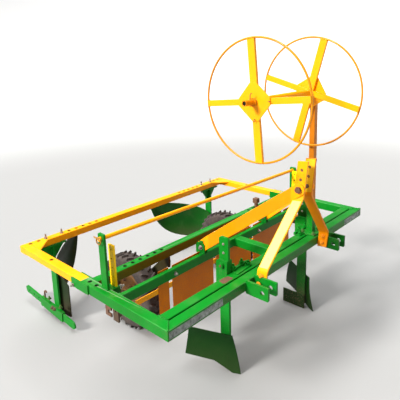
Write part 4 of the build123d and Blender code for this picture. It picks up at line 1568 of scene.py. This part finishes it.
@dataclass
class Hitch:
    """Lower lugs, mast and its pin, with a blank strip on the near leg."""

    makers: Makers
    lean: float = math.radians(6.2)
    foot_x: float = 0.3025
    foot_y: float = -0.6985
    top: float = FRAME_TOP
    foot_bottom: float = -0.056
    foot_top: float = 0.037
    neck: float = 0.330
    head: float = 0.519
    bend: float = 0.016
    gap: float = 0.043
    thickness: float = 0.010
    width: float = 0.056
    link_heights: tuple[float, float] = (0.426, 0.475)
    disc_radius: float = 0.0078
    disc_rise: float = 0.0007
    lug_faces: tuple[float, ...] = (0.3025, 0.3145, 0.3685, 0.3805)

    @property
    def across(self) -> Vector:
        """The way across a leg's width."""
        return Vector((0, math.cos(self.lean), -math.sin(self.lean)))

    def on_mast(self, height: float) -> tuple[float, float]:
        """A point of the mast's centre line.

        Args:
            height: its height above the frame's top.

        Returns:
            Its (y, z).
        """
        return self.foot_y - height * math.tan(self.lean), self.top + height

    def build(self) -> None:
        """Dresses the hitch and adds bolts, welds and the strip."""
        for side in ("left", "right"):
            # The left lugs take a darker green: partly painted shade, partly dirt.
            paint = GREEN if side == "right" else GREEN_PAINTED_SHADE_AND_SOIL
            Dressed(f"lower_hitch_lugs_{side}", paint, Slot.GREEN, edge=0.0016).build()
        self.leg(-1, "right", YELLOW)
        # The left leg is painted a darker yellow, as painted shade.
        self.leg(1, "left", YELLOW_PAINTED_SHADE)
        Dressed("mast_pin", BROWN, Slot.STEEL, edge=0.0014).build()
        # Painted light on the left leg's head.
        self.paint_light_on_left_head()
        # Dark discs paint the shade inside the top-link bores.
        self.paint_bore_shade()
        self.bolt()
        self.weld()
        self.strip()

    def bolt(self) -> None:
        """Bolts through the mast's feet into the lugs."""
        places = []
        inner_head = 0.2925
        for height, outer_head in ((-0.028, 0.3205), (0.010, 0.3025)):
            y, z = self.on_mast(height)
            places += both((inner_head, y, z), (-1, 0, 0))
            places += both((outer_head, y, z), (1, 0, 0))
        self.makers.bolts(
            "mast_foot_bolts", places, STAY, Slot.YELLOW, 12, Head_Radius=0.0105, Washer_Radius=0.0135
        )

    def weld(self) -> None:
        """Beads where the lug plates meet the toolbar."""
        y, low, high = -0.6655, 0.484, 0.526
        runs = [[(side * x, y, low), (side * x, y, high)] for side in SIDES for x in self.lug_faces]
        self.makers.beads("lug_weld_beads", runs, GREEN_WELD, Slot.GREEN, 14)

    def face(self, height: float) -> float:
        """How far a leg's outer face is from the middle.

        Args:
            height: the height above the frame's top.

        Returns:
            The distance.
        """
        share = (height - self.foot_top) / (self.neck - self.foot_top)
        share = min(max(share, 0.0), 1.0)
        return self.foot_x + (self.gap - self.foot_x) * share

    def leg(self, side: int, name: str, finish: Finish) -> None:
        """One leg: flat bar, upright at the foot and at the top, with a slope between.

        Args:
            side: +1 left, -1 right.
            name: which side.
            finish: its paint.
        """
        slope = math.atan2(self.foot_x - self.gap, self.neck - self.foot_top)
        drop = self.thickness * math.tan(slope / 2)
        outer = [
            (self.foot_x, self.foot_bottom), (self.foot_x, self.foot_top),
            (self.gap, self.neck), (self.gap, self.head),
        ]
        inner = [(x - self.thickness, height) for x, height in outer]
        inner[1] = (inner[1][0], self.foot_top - drop)
        inner[2] = (inner[2][0], self.neck - drop)
        outline = []
        for x, height in [*eased(outer, self.bend), *reversed(eased(inner, self.bend))]:
            y, z = self.on_mast(height)
            outline.append(Vector((side * x, y, z)))
        across = self.across * self.width
        shape = Shape(f"mast_leg_{name}")
        shape.prism([corner - across / 2 for corner in outline], across)
        fit(shape.done(edge=0.0013), finish, nodes=[f"mast_bar_{name}"])

    def paint_bore_shade(self) -> None:
        """Dark brown discs that paint the shade inside the two top-link bores on the legs' faces; the legs
        themselves are solid.
        """
        shape = Shape("mast_spare_holes")
        for height in self.link_heights:
            y, z = self.on_mast(height)
            for side in SIDES:
                for x in (self.gap, self.gap - self.thickness):
                    ends = [(side * (x + rise), y, z) for rise in (-self.disc_rise, self.disc_rise)]
                    shape.bar(ends, self.disc_radius, 16)
        fit(shape.done(), YELLOW_DEEP_PAINTED_SHADE)

    def paint_light_on_left_head(self) -> None:
        """Painted light: a brighter yellow sheet on the inner face of the left leg's head, which lies in
        the right leg's shadow.
        """
        shape = Shape("mast_bright_paint")
        x, margin = self.gap - self.thickness - 0.0005, 0.002
        low, high = (Vector((x, *self.on_mast(height))) for height in (self.neck + 0.014, 0.515))
        across = self.across * (self.width / 2 - margin)
        shape.prism([low - across, low + across, high + across, high - across], (FILM, 0, 0))
        fit(shape.done(), YELLOW_PAINTED_LIGHT_AND_SHADE)

    def strip(self) -> None:
        """A blank bright strip along the sloping part of the right-hand leg."""
        heights = (self.foot_top + 0.010, self.neck - 0.012)
        start, end = (Vector((-self.face(height), *self.on_mast(height))) for height in heights)
        across = self.across
        outward = across.cross((end - start).normalized()).normalized()
        if outward.x > 0:
            outward.negate()
        half = across * (self.width / 2 - 0.0045)
        clear, thick = outward * 0.0003, outward * 0.0005
        start, end = start + clear, end + clear
        shape = Shape("mast_blank_strip")
        shape.prism([start - half, start + half, end + half, end - half], thick)
        fit(shape.done(), YELLOW_STRIP)


@dataclass
class BackStays:
    """Flat stays from the mast to their brackets."""

    makers: Makers

    def build(self) -> None:
        """Dresses the stays and their brackets and bolts them."""
        for side in ("left", "right"):
            Dressed(f"back_stay_{side}", STAY, Slot.YELLOW, edge=0.0013).build()
        Dressed("stay_brackets", GREEN, Slot.GREEN, edge=0.0012).build()
        cheeks = Shape("stay_bracket_cheeks")
        thick = 0.0058
        profile = (
            (-0.330, 0.5295), (-0.270, 0.5295), (-0.270, 0.572),
            (-0.280, 0.590), (-0.322, 0.590), (-0.330, 0.580),
        )
        for side in SIDES:
            for x in (0.2892, 0.2690):
                cheeks.prism([(side * x, y, z) for y, z in profile], (side * thick, 0, 0))
        fit(cheeks.done(edge=0.0010), GREEN_WELD)
        places = both((0.2952, -0.307, 0.566), (1, 0, 0)) + both((0.2690, -0.307, 0.566), (-1, 0, 0))
        self.makers.bolts("stay_bolts", places, ZINC, Slot.STEEL, 21)
        front, back, z = -0.3185, -0.2955, 0.5305
        runs = [[(side * x, front, z), (side * x, back, z)] for side in SIDES for x in (0.2745, 0.2955)]
        self.makers.beads("bracket_weld_beads", runs, GREEN_WELD, Slot.GREEN, 22)


@dataclass
class Reel:
    """The drip-line reel: post, spindle, hub tube and two wire wheels."""

    makers: Makers
    axis_y: float = -0.6105
    axis_z: float = 1.345
    post_x: float = 0.315
    near_x: float = -0.225
    near_turn: float = -4.7
    far_x: float = 0.266
    far_turn: float = 15.5
    wire: float = 0.005
    ring: float = 0.286
    level_spoke: float = 0.030
    upright_spoke: float = 0.039
    spoke_thickness: float = 0.015
    spoke_end: float = 0.2835
    hub_reach: float = 0.0877
    hub_cut: float = 0.017
    hub_thickness: float = 0.006
    bore: float = 0.0181

    def build(self) -> None:
        """Dresses the post and spindle and builds the two wheels."""
        # The post is painted a deep orange-brown yellow, as painted shade.
        Dressed("reel_post", POST_PAINTED_SHADE, Slot.YELLOW, corner=0.0032, edge=0.001).build()
        # The spindle is painted a darker yellow, as painted shade.
        Dressed("reel_spindle", YELLOW_PAINTED_SHADE, Slot.YELLOW, edge=0.001).build()
        # A dark disc in the spindle's bore paints the shade inside it.
        bore = Shape("spindle_bore_depth")
        bore.bar([(x, self.axis_y, self.axis_z) for x in (-0.3075, -0.3055)], 0.0103, 24)
        fit(bore.done(), HOLE_PAINTED_SHADE)
        Dressed("reel_tube", YELLOW, Slot.YELLOW, edge=0.001, body=Body.REEL).build()
        self.wheel("near", self.near_x, self.near_turn, -1)
        self.wheel("far", self.far_x, self.far_turn, 1)
        self.post_foot()
        self.pins()

    def wheel(self, name: str, x: float, turn: float, outward: int) -> None:
        """One wheel: flat bar spokes, a hub plate with its corners cut, a wire ring and welds.

        Args:
            name: which wheel.
            x: its place along the axle.
            turn: its turn about the axle in degrees.
            outward: the side that its hub plate is on, -1 or +1 along X.
        """
        centre = Vector((x, self.axis_y, self.axis_z))
        level = Vector((0, math.cos(math.radians(turn)), math.sin(math.radians(turn))))
        upright = Vector((0, -level.z, level.y))

        def at(depth: float, along: float, across: float) -> Vector:
            """A point in the wheel's own directions."""
            return centre + Vector((depth, 0, 0)) + level * along + upright * across

        def bore(depth: float, steps: int = 32, closed: bool = False) -> list[Vector]:
            """The edge of the hole that the hub tube goes through."""
            return [
                at(depth, self.bore * math.cos(a), self.bore * math.sin(a)) for a in turns(steps, closed)
            ]

        shape = Shape(f"reel_wheel_{name}")
        half = self.spoke_thickness / 2
        flat, tall, end = self.level_spoke / 2, self.upright_spoke / 2, self.spoke_end
        cross = [
            (end, -flat), (end, flat), (tall, flat), (tall, end), (-tall, end), (-tall, flat),
            (-end, flat), (-end, -flat), (-tall, -flat), (-tall, -end), (tall, -end), (tall, -flat),
        ]
        shape.pierced([at(-half, *corner) for corner in cross], bore(-half), (2 * half, 0, 0))
        reach, cut = self.hub_reach, self.hub_cut
        plate = [
            (reach, -cut), (reach, cut), (cut, reach), (-cut, reach),
            (-reach, cut), (-reach, -cut), (-cut, -reach), (cut, -reach),
        ]
        face = outward * half
        shape.pierced(
            [at(face, *corner) for corner in plate], bore(face), (outward * self.hub_thickness, 0, 0)
        )
        fit(shape.done(edge=0.0011), YELLOW, Body.REEL, [f"reel_disc_{name}"])
        ring = Shape(f"reel_ring_{name}")
        section = [
            (self.wire * math.cos(a), self.ring + self.wire * math.sin(a)) for a in turns(12)
        ]
        ring.lathe(section, centre, 128)
        # The ring's deeper yellow is painted shade for the round wire.
        fit(ring.done(), RING_PAINTED_SHADE, Body.REEL)
        runs = []
        for side in (-half, half):
            for sign in SIDES:
                tip = sign * (end + 0.001)
                runs.append([at(side, tip, -flat), at(side, tip, flat)])
                runs.append([at(side, -tall, tip), at(side, tall, tip)])
        runs.append(bore(face + outward * self.hub_thickness, 36, True))
        self.makers.beads(
            f"reel_welds_{name}", runs, YELLOW, Slot.YELLOW, 31, Body.REEL, Bead_Radius=0.0024, Step=0.0030
        )

    def pins(self) -> None:
        """The wire pin through the spindle's near end and the wire ends on the near hub plate."""
        wire = 0.0019
        pin = Shape("spindle_pin")
        x, y, z = -0.266, self.axis_y, self.axis_z
        bend = ((0.0, -0.019), (0.0, 0.034), (-0.004, 0.040), (-0.010, 0.042))
        pin.bar([(x, y + back, z + up) for back, up in bend], wire, 8)
        fit(pin.done(), BROWN)
        hooks = Shape("hub_wire_ends")
        for quarter, reach in ((180, 0.0835), (270, 0.0800)):
            angle = math.radians(self.near_turn + quarter)
            out = Vector((0, math.cos(angle), math.sin(angle)))
            place = Vector((-0.2385, y, z)) + out * reach
            bend = ((0.001, 0.0), (-0.006, 0.0), (-0.009, 0.004), (-0.008, 0.011))
            hooks.bar([place + Vector((depth, 0, 0)) + out * along for depth, along in bend], wire, 8)
        fit(hooks.done(), BROWN, Body.REEL)

    def post_foot(self) -> None:
        """Bolts through the post's foot plate, and the weld round the post."""
        bolt_reach, bolt_z = 0.034, 0.538
        places = [
            ((self.post_x + sx * bolt_reach, self.axis_y + sy * bolt_reach, bolt_z), (0, 0, 1))
            for sx in SIDES
            for sy in SIDES
        ]
        self.makers.bolts("post_foot_bolts", places, GREEN, Slot.GREEN, 33)
        shape = Shape("post_socket")
        x, y = self.post_x, self.axis_y
        for half, low, high in ((0.0455, 0.5292, 0.5386), (0.0190, 0.5380, 0.6850)):
            shape.box((x - half, y - half, low), (x + half, y + half, high))
        fit(shape.done(edge=0.0014), GREEN)
        half, z = 0.0195, 0.5390
        corners = ((-1, -1), (1, -1), (1, 1), (-1, 1), (-1, -1))
        runs = [[(x + sx * half, y + sy * half, z) for sx, sy in corners]]
        self.makers.beads("post_weld_beads", runs, GREEN_WELD, Slot.GREEN, 34)
        self.post_clamp()

    def post_clamp(self) -> None:
        """The block that holds the spindle to the post's head, in a dark brown-orange that paints its
        shade.
        """
        shape = Shape("post_clamp")
        half, shoulder, high = 0.0195, 0.0115, 0.030
        profile = (
            (-half, -high), (half, -high), (half, high - 0.008),
            (shoulder, high), (-shoulder, high), (-half, high - 0.008),
        )
        shape.prism(
            [(self.post_x - half, self.axis_y + y, self.axis_z + z) for y, z in profile],
            (2 * half, 0, 0),
        )
        fit(shape.done(edge=0.0016), YELLOW_DEEP_PAINTED_SHADE)


@dataclass
class FilmGear:
    """Guide rod, uprights, depth bars, cones, clamps and hooks."""

    makers: Makers
    rod: tuple[Point, ...] = (
        (-0.8560, -0.2125, 0.7760), (-0.28, -0.19917, 0.75817),
        (0.28, -0.18617, 0.74), (0.8560, -0.1725, 0.7220),
    )
    rod_radius: float = 0.0102
    bar_y: float = -0.2145
    bar_faces: tuple[float, float] = (0.7905, 0.7935)
    top_hole: float = 0.7075
    hole_step: float = 0.045
    hole_count: int = 5

    def build(self) -> None:
        """Dresses each node and adds the rod's clips, the clamps' screws, welds and painted shade in the
        holes.
        """
        Dressed("guide_rod_uprights", GREEN, Slot.GREEN, edge=0.0012).build()
        rod = Shape("film_guide_rod_dressed")
        rod.bar(self.rod, self.rod_radius, 20)
        fit(rod.done(edge=0.0010), YELLOW, nodes=["film_guide_rod"])
        # The depth bars' brighter yellow is painted light over the upright's shadow, and their brown below
        # the frame is painted shade.
        Dressed("depth_bars", YELLOW_PAINTED_LIGHT_AND_SHADE, Slot.YELLOW, edge=0.001).build()
        Dressed("depth_clamps", GREEN, Slot.GREEN, edge=0.001).build()
        Dressed("film_hooks", BROWN, Slot.GREEN, edge=0.0012).build()
        places = both((0.758, self.bar_y, 0.505), (-1, 0, 0))
        self.makers.bolts("clamp_screws", places, ZINC, Slot.STEEL, 41, Stub_Length=0.010)
        half, z = 0.021, 0.531
        runs = [
            [(side * x, y - half, z), (side * x, y + half, z)]
            for side, y in ((-1, -0.2125), (1, -0.1725))
            for x in (0.832, 0.844)
        ]
        self.makers.beads("upright_weld_beads", runs, GREEN_WELD, Slot.GREEN, 42)
        self.clips()
        # Dark discs in the depth bars' holes paint the shade inside them.
        holes = Shape("depth_bar_hole_depths")
        for side in SIDES:
            for step in range(self.hole_count):
                z = self.top_hole - self.hole_step * step
                holes.bar([(side * x, self.bar_y, z) for x in self.bar_faces], 0.0051, 12)
        fit(holes.done(), HOLE_PAINTED_SHADE)

    def clips(self) -> None:
        """Ring clips through the guide rod's ends."""
        shape = Shape("guide_rod_clips")
        ring, drop = 0.016, 0.004
        for x, y, z in ((-0.8560, -0.2120, 0.7720), (0.8560, -0.1730, 0.7190)):
            wire = [(x, y + ring * math.cos(a), z - drop + ring * math.sin(a)) for a in turns(20, True)]
            shape.bar(wire, 0.0030, 8)
            shape.bar([(x, y - 0.018, z + 0.004), (x, y + 0.034, z + 0.008)], 0.0034, 8)
        fit(shape.done(), COPPERED)


@dataclass
class BedShaper:
    """The panels that shape the bed, on their rail."""

    makers: Makers

    def build(self) -> None:
        """Dresses panels and rail and screws them together."""
        # The panels are painted a darker orange yellow, as painted shade.
        Dressed("bed_shaper_panels", PANEL_PAINTED_SHADE, Slot.YELLOW, edge=0.0009).build()
        Dressed("shaper_rail", YELLOW, Slot.YELLOW, edge=0.001).build()
        reaches = (0.10, 0.235, 0.45, 0.58, -0.10, -0.235, -0.45, -0.58)
        places = [((x, -0.2855, 0.4335), (0, 1, 0)) for x in reaches]
        self.makers.bolts(
            "rail_bolts", places, ZINC, Slot.STEEL, 51, Head_Radius=0.008, Washer_Radius=0.010
        )


@dataclass
class FrontBodies:
    """Ridging bodies on their shanks, sockets and soles."""

    makers: Makers

    def build(self) -> None:
        """Dresses each node and adds bolts."""
        for side in ("left", "right"):
            # The left shank takes a darker green: partly painted shade, partly dirt.
            paint = GREEN if side == "right" else GREEN_PAINTED_SHADE_AND_SOIL
            Dressed(f"front_shank_{side}", paint, Slot.GREEN, edge=0.0016).build()
            Dressed(f"front_body_{side}", GREEN_DARK, Slot.GREEN, edge=0.001).build()
        Dressed("front_shank_sockets", GREEN, Slot.GREEN, edge=0.0016).build()
        Dressed("front_soles", GREEN_DARK, Slot.GREEN, edge=0.0014).build()
        places = []
        y = -0.5275
        for z in (0.630, 0.675):
            places += both((0.3575, y, z), (-1, 0, 0)) + both((0.3725, y, z), (1, 0, 0))
        self.makers.bolts(
            "shank_bolts", places, ZINC, Slot.STEEL, 61, Head_Radius=0.0050, Head_Height=0.003,
            Washer_Radius=0.0068, Washer_Height=0.0012, Stub_Length=0.001, Stub_Radius=0.003,
        )


@dataclass
class RearBodies:
    """Covering blades, their shanks and the foot bars."""

    makers: Makers
    sheet: float = 0.006
    hollow: float = 0.036
    # Columns: x and y in plan, heights of the top and bottom edges, share of the hollow
    blade: tuple[tuple[float, float, float, float, float], ...] = (
        (0.662, 0.440, 0.235, 0.012, 0.0),
        (0.680, 0.500, 0.280, 0.024, 0.0),
        (0.684, 0.560, 0.303, 0.046, 0.2),
        (0.640, 0.620, 0.335, 0.062, 0.7),
        (0.572, 0.678, 0.356, 0.074, 1.0),
        (0.500, 0.733, 0.372, 0.094, 1.0),
        (0.432, 0.781, 0.382, 0.142, 1.0),
        (0.384, 0.812, 0.388, 0.208, 0.75),
        (0.352, 0.832, 0.390, 0.292, 0.41),
        (0.338, 0.842, 0.388, 0.352, 0.15),
    )

    def rear_blade(self, side: int, name: str, finish: Finish) -> None:
        """A hollow sheet that sweeps back and in from its shank.

        Args:
            side: +1 left, -1 right.
            name: which side.
            finish: its paint.
        """
        rows = []
        spine = [Vector(column[:2]) for column in self.blade]
        steps = 14
        for index, (x, y, high, low, share_of_hollow) in enumerate(self.blade):
            before, after = spine[max(index - 1, 0)], spine[min(index + 1, len(spine) - 1)]
            run = (after - before).normalized()
            outward = Vector((run.y, -run.x))
            row = []
            for step in range(steps + 1):
                share = step / steps
                bulge = self.hollow * share_of_hollow * 4 * share * (1 - share)
                foot = spine[index] + outward * bulge
                row.append((side * foot.x, foot.y, low + (high - low) * share))
            rows.append(row)
        shape = Shape(f"rear_blade_{name}")
        shape.sheet(rows, self.sheet)
        blade = shape.done(smooth=60)
        rounding = blade.modifiers.new("rounding", "SUBSURF")
        rounding.levels = rounding.render_levels = 1
        fit(blade, finish, nodes=[f"rear_body_{name}"])

    def levers(self) -> None:
        """A bent clamp lever and nuts on each foot bar's sleeve."""
        shape = Shape("sleeve_levers")
        nuts = []
        bend = (
            (0.655, 0.098), (0.655, 0.132), (0.651, 0.142),
            (0.642, 0.147), (0.632, 0.144), (0.628, 0.137),
        )
        for side in SIDES:
            x = side * 0.717
            shape.bar([(x, y, z) for y, z in bend], 0.0048, 10)
            nuts += [((x, 0.600, 0.1065), (0, 0, 1)), ((x, 0.470, 0.0975), (0, 0, 1))]
        fit(shape.done(), BROWN)
        self.makers.bolts("sleeve_nuts", nuts, GREEN, Slot.GREEN, 73, Stub_Length=0.008)

    def build(self) -> None:
        """Dresses each node, builds the blades and bolts the foot bars on."""
        # Both blades' darker greens are partly painted shade, partly dirt.
        for side, name, finish in ((1, "left", GREEN_PAINTED_SHADE_AND_SOIL), (-1, "right", GREEN_PAINTED_SHADE_AND_EARTH)):
            self.rear_blade(side, name, finish)
        self.levers()
        for side in ("left", "right"):
            Dressed(f"rear_shank_{side}", GREEN, Slot.GREEN, edge=0.0014).build()
            Dressed(f"foot_bar_{side}", GREEN, Slot.GREEN, edge=0.0012).build()
        Dressed("foot_sleeves", GREEN, Slot.GREEN, edge=0.0014).build()
        # The foot bar bolts share the darker green of painted shade and dirt.
        places = both((0.728, 0.520, 0.075), (1, 0, 0)) + both((0.728, 0.545, 0.075), (1, 0, 0))
        self.makers.bolts("foot_bar_bolts", places, GREEN_PAINTED_SHADE_AND_SOIL, Slot.GREEN, 71)


@dataclass
class PressWheels:
    """Wheel arms, rims and lugged tyres."""

    makers: Makers
    offset: float = 0.437
    axle_y: float = 0.1255
    axle_z: float = 0.225
    radius: float = 0.225
    tread: float = 0.2125
    bolt_circle: float = 0.071
    bolt_face: float = 0.0085

    def build(self) -> None:
        """Builds both wheels and dresses both arms."""
        for side, name, body in ((1, "left", Body.WHEEL_LEFT), (-1, "right", Body.WHEEL_RIGHT)):
            Dressed(f"wheel_arm_{name}", GREEN_RUSTED, Slot.GREEN, edge=0.0014).build()
            centre = (side * self.offset, self.axle_y, self.axle_z)
            self.tyre(name, centre, body)
            self.rim_of(name, centre, body, side)

    def tyre(self, name: str, centre: Point, body: Body) -> None:
        """A carcass with ribbed walls, and its lugs.

        Args:
            name: which side.
            centre: the wheel's centre.
            body: the wheel's body.
        """
        # Columns: distance from the wheel's middle plane, radius; from a bead to the tread's middle
        profile = [
            (0.0350, 0.1275), (0.0352, 0.1378), (0.0400, 0.1392), (0.0424, 0.1420),
            (0.0446, 0.1500), (0.0474, 0.1580), (0.0472, 0.1605), (0.0490, 0.1640),
            (0.0500, 0.1720), (0.0498, 0.1850), (0.0492, 0.1875), (0.0496, 0.1900),
            (0.0478, 0.2000), (0.0440, 0.2065), (0.0360, 0.2105), (0.0200, 0.2122),
            (0.0, self.tread),
        ]
        whole = profile + [(-x, r) for x, r in reversed(profile[:-1])]
        shape = Shape(f"tyre_{name}_carcass")
        shape.lathe(whole, centre, 96)
        carcass = shape.done(smooth=50)
        lugs = self.makers.lugs.make(
            f"tyre_{name}_lugs", lines([[(0, 0, 0), (0.001, 0, 0)]]), RUBBER, 81,
            Tread_Radius=self.radius - 0.0008,
        )
        lugs.data.transform(Matrix.Translation(centre))
        soften(lugs, 0.0016)
        fit(carcass, RUBBER, body, [f"tyre_{name}"])
        fit(lugs, RUBBER, body)

    def rim_of(self, name: str, centre: Point, body: Body, side: int) -> None:
        """A pressed rim with a dished disc, a hub and bolts.

        Args:
            name: which side.
            centre: the wheel's centre.
            body: the wheel's body.
            side: +1 left, -1 right.
        """
        # Columns: distance from the wheel's middle plane, radius
        band = [
            (-0.0400, 0.1230), (-0.0372, 0.1230), (-0.0300, 0.1230), (-0.0240, 0.1150),
            (0.0240, 0.1150), (0.0300, 0.1230), (0.0372, 0.1230), (0.0400, 0.1230),
            (0.0400, 0.1365), (0.0388, 0.1370), (0.0364, 0.1370), (0.0360, 0.1360),
            (0.0360, 0.1268), (0.0290, 0.1268), (0.0225, 0.1190), (-0.0225, 0.1190),
            (-0.0290, 0.1268), (-0.0360, 0.1268), (-0.0360, 0.1360), (-0.0364, 0.1370),
            (-0.0388, 0.1370), (-0.0400, 0.1365),
        ]
        shape = Shape(f"wheel_rim_{name}_dressed")
        shape.lathe(band, centre, 72)
        disc = [
            (-0.0025, 0.0225), (0.0025, 0.0225), (0.0025, 0.048), (0.0085, 0.058),
            (0.0085, 0.084), (0.0025, 0.096), (0.0025, 0.1160), (-0.0025, 0.1160),
            (-0.0025, 0.0975), (0.0035, 0.0855), (0.0035, 0.0565), (-0.0025, 0.0495),
        ]
        shape.lathe([(side * x, r) for x, r in disc], centre, 72)
        hub = [
            (-0.055, 0.0128), (0.055, 0.0128), (0.055, 0.0225), (0.0535, 0.024),
            (-0.0535, 0.024), (-0.055, 0.0225),
        ]
        shape.lathe(hub, centre, 40)
        fit(shape.done(smooth=35), RIM, body, [f"wheel_rim_{name}"])
        places = []
        for turned in turns(4):
            angle = turned + math.pi / 4
            y = centre[1] + self.bolt_circle * math.cos(angle)
            z = centre[2] + self.bolt_circle * math.sin(angle)
            places.append(((centre[0] + side * self.bolt_face, y, z), (side, 0, 0)))
        self.makers.bolts(f"wheel_bolts_{name}", places, BROWN, Slot.STEEL, 83, body, Head_Radius=0.008)


# Studio


@dataclass(frozen=True)
class Light:
    """An even, soft light that shines on everything from one direction."""

    name: str
    way: Point
    spread: float
    power: float
    colour: Colour
    middle: Point = (0.0, 0.0, 0.7)
    distance: float = 5.0

    def build(self) -> None:
        """Puts the light in the scene, on the side that it shines from."""
        data = bpy.data.lights.new(self.name, "SUN")
        data.angle = math.radians(self.spread)
        data.energy = self.power
        data.color = self.colour
        lamp = bpy.data.objects.new(self.name, data)
        out = Vector(self.way).normalized()
        lamp.location = out * self.distance + Vector(self.middle)
        lamp.rotation_mode = "QUATERNION"
        lamp.rotation_quaternion = out.to_track_quat("Z", "Y")
        bpy.context.scene.collection.objects.link(lamp)


KEY = Light("key", (-0.82, 0.27, 0.50), spread=14, power=6.4, colour=(1.0, 0.98, 0.95))
OVERHEAD = Light("overhead", (0.0, 0.22, 1.0), spread=55, power=6.2, colour=(0.98, 0.99, 1.0))
SKY: Colour = (1.0, 0.98, 0.95)
SKY_STRENGTH = 0.03


@dataclass
class Studio:
    """Pale floor, soft lights and the camera."""

    lens: float = 40.16
    at: Point = (-1.888, -1.8105, 1.577)
    right: Point = (0.68442, -0.72843, -0.03087)
    ahead: Point = (0.70705, 0.67348, -0.21565)
    shift: tuple[float, float] = (0.01, -0.125)
    floor_reach: float = 8.0
    floor_curve: float = 4.4
    floor_drop: float = 0.0006

    def build(self) -> None:
        """Makes floor, lights, world and camera."""
        self.floor()
        KEY.build()
        OVERHEAD.build()
        world = bpy.data.worlds.new("studio")
        world.use_nodes = True
        background = world.node_tree.nodes["Background"]
        background.inputs["Color"].default_value = (*SKY, 1.0)
        background.inputs["Strength"].default_value = SKY_STRENGTH
        bpy.context.scene.world = world
        bpy.context.scene.view_settings.view_transform = "Standard"
        self.camera()

    def floor(self) -> None:
        """A floor that rises into a wall all round."""
        reach, curve = self.floor_reach, self.floor_curve
        profile = [(reach, 0.0)]
        for step in range(1, 11):
            rise = math.radians(8 * step)
            profile.append((reach + curve * math.sin(rise), curve - curve * math.cos(rise)))
        work = bmesh.new()
        steps = 64
        hub = work.verts.new((0, 0, -self.floor_drop))
        rings = [
            [
                work.verts.new((radius * math.cos(a), radius * math.sin(a), height - self.floor_drop))
                for a in turns(steps)
            ]
            for radius, height in profile
        ]
        for k in range(steps):
            after = (k + 1) % steps
            work.faces.new([hub, rings[0][k], rings[0][after]])
            for low, high in zip(rings, rings[1:]):
                work.faces.new([low[k], high[k], high[after], low[after]])
        mesh = bpy.data.meshes.new("studio_floor")
        work.to_mesh(mesh)
        work.free()
        mesh.shade_smooth()
        floor = show("studio_floor", mesh)
        floor.data.materials.append(PAPER.material())

    def camera(self) -> None:
        """The camera, where the photograph's stood."""
        data = bpy.data.cameras.new("camera")
        data.lens = self.lens
        data.sensor_width = 36.0
        data.shift_x, data.shift_y = self.shift
        data.clip_start, data.clip_end = 0.05, 60.0
        shot = bpy.data.objects.new("camera", data)
        right, back = Vector(self.right), -Vector(self.ahead)
        up = back.cross(right)
        turned = Matrix((right, up, back)).transposed().to_4x4()
        shot.matrix_world = Matrix.Translation(Vector(self.at)) @ turned
        bpy.context.scene.collection.objects.link(shot)
        bpy.context.scene.camera = shot


def main() -> None:
    """Builds the studio and each sub-assembly."""
    logging.basicConfig(level=logging.INFO, format="%(message)s")
    Studio().build()
    makers = Makers(Fasteners(), WeldBeads(), TyreLugs())
    for group in (
        MainFrame(makers), RearFrame(makers), Hitch(makers), BackStays(makers), Reel(makers),
        FilmGear(makers), BedShaper(makers), FrontBodies(makers), RearBodies(makers),
        PressWheels(makers),
    ):
        log.info("building %s", type(group).__name__)
        group.build()


if __name__ == "__main__":
    main()
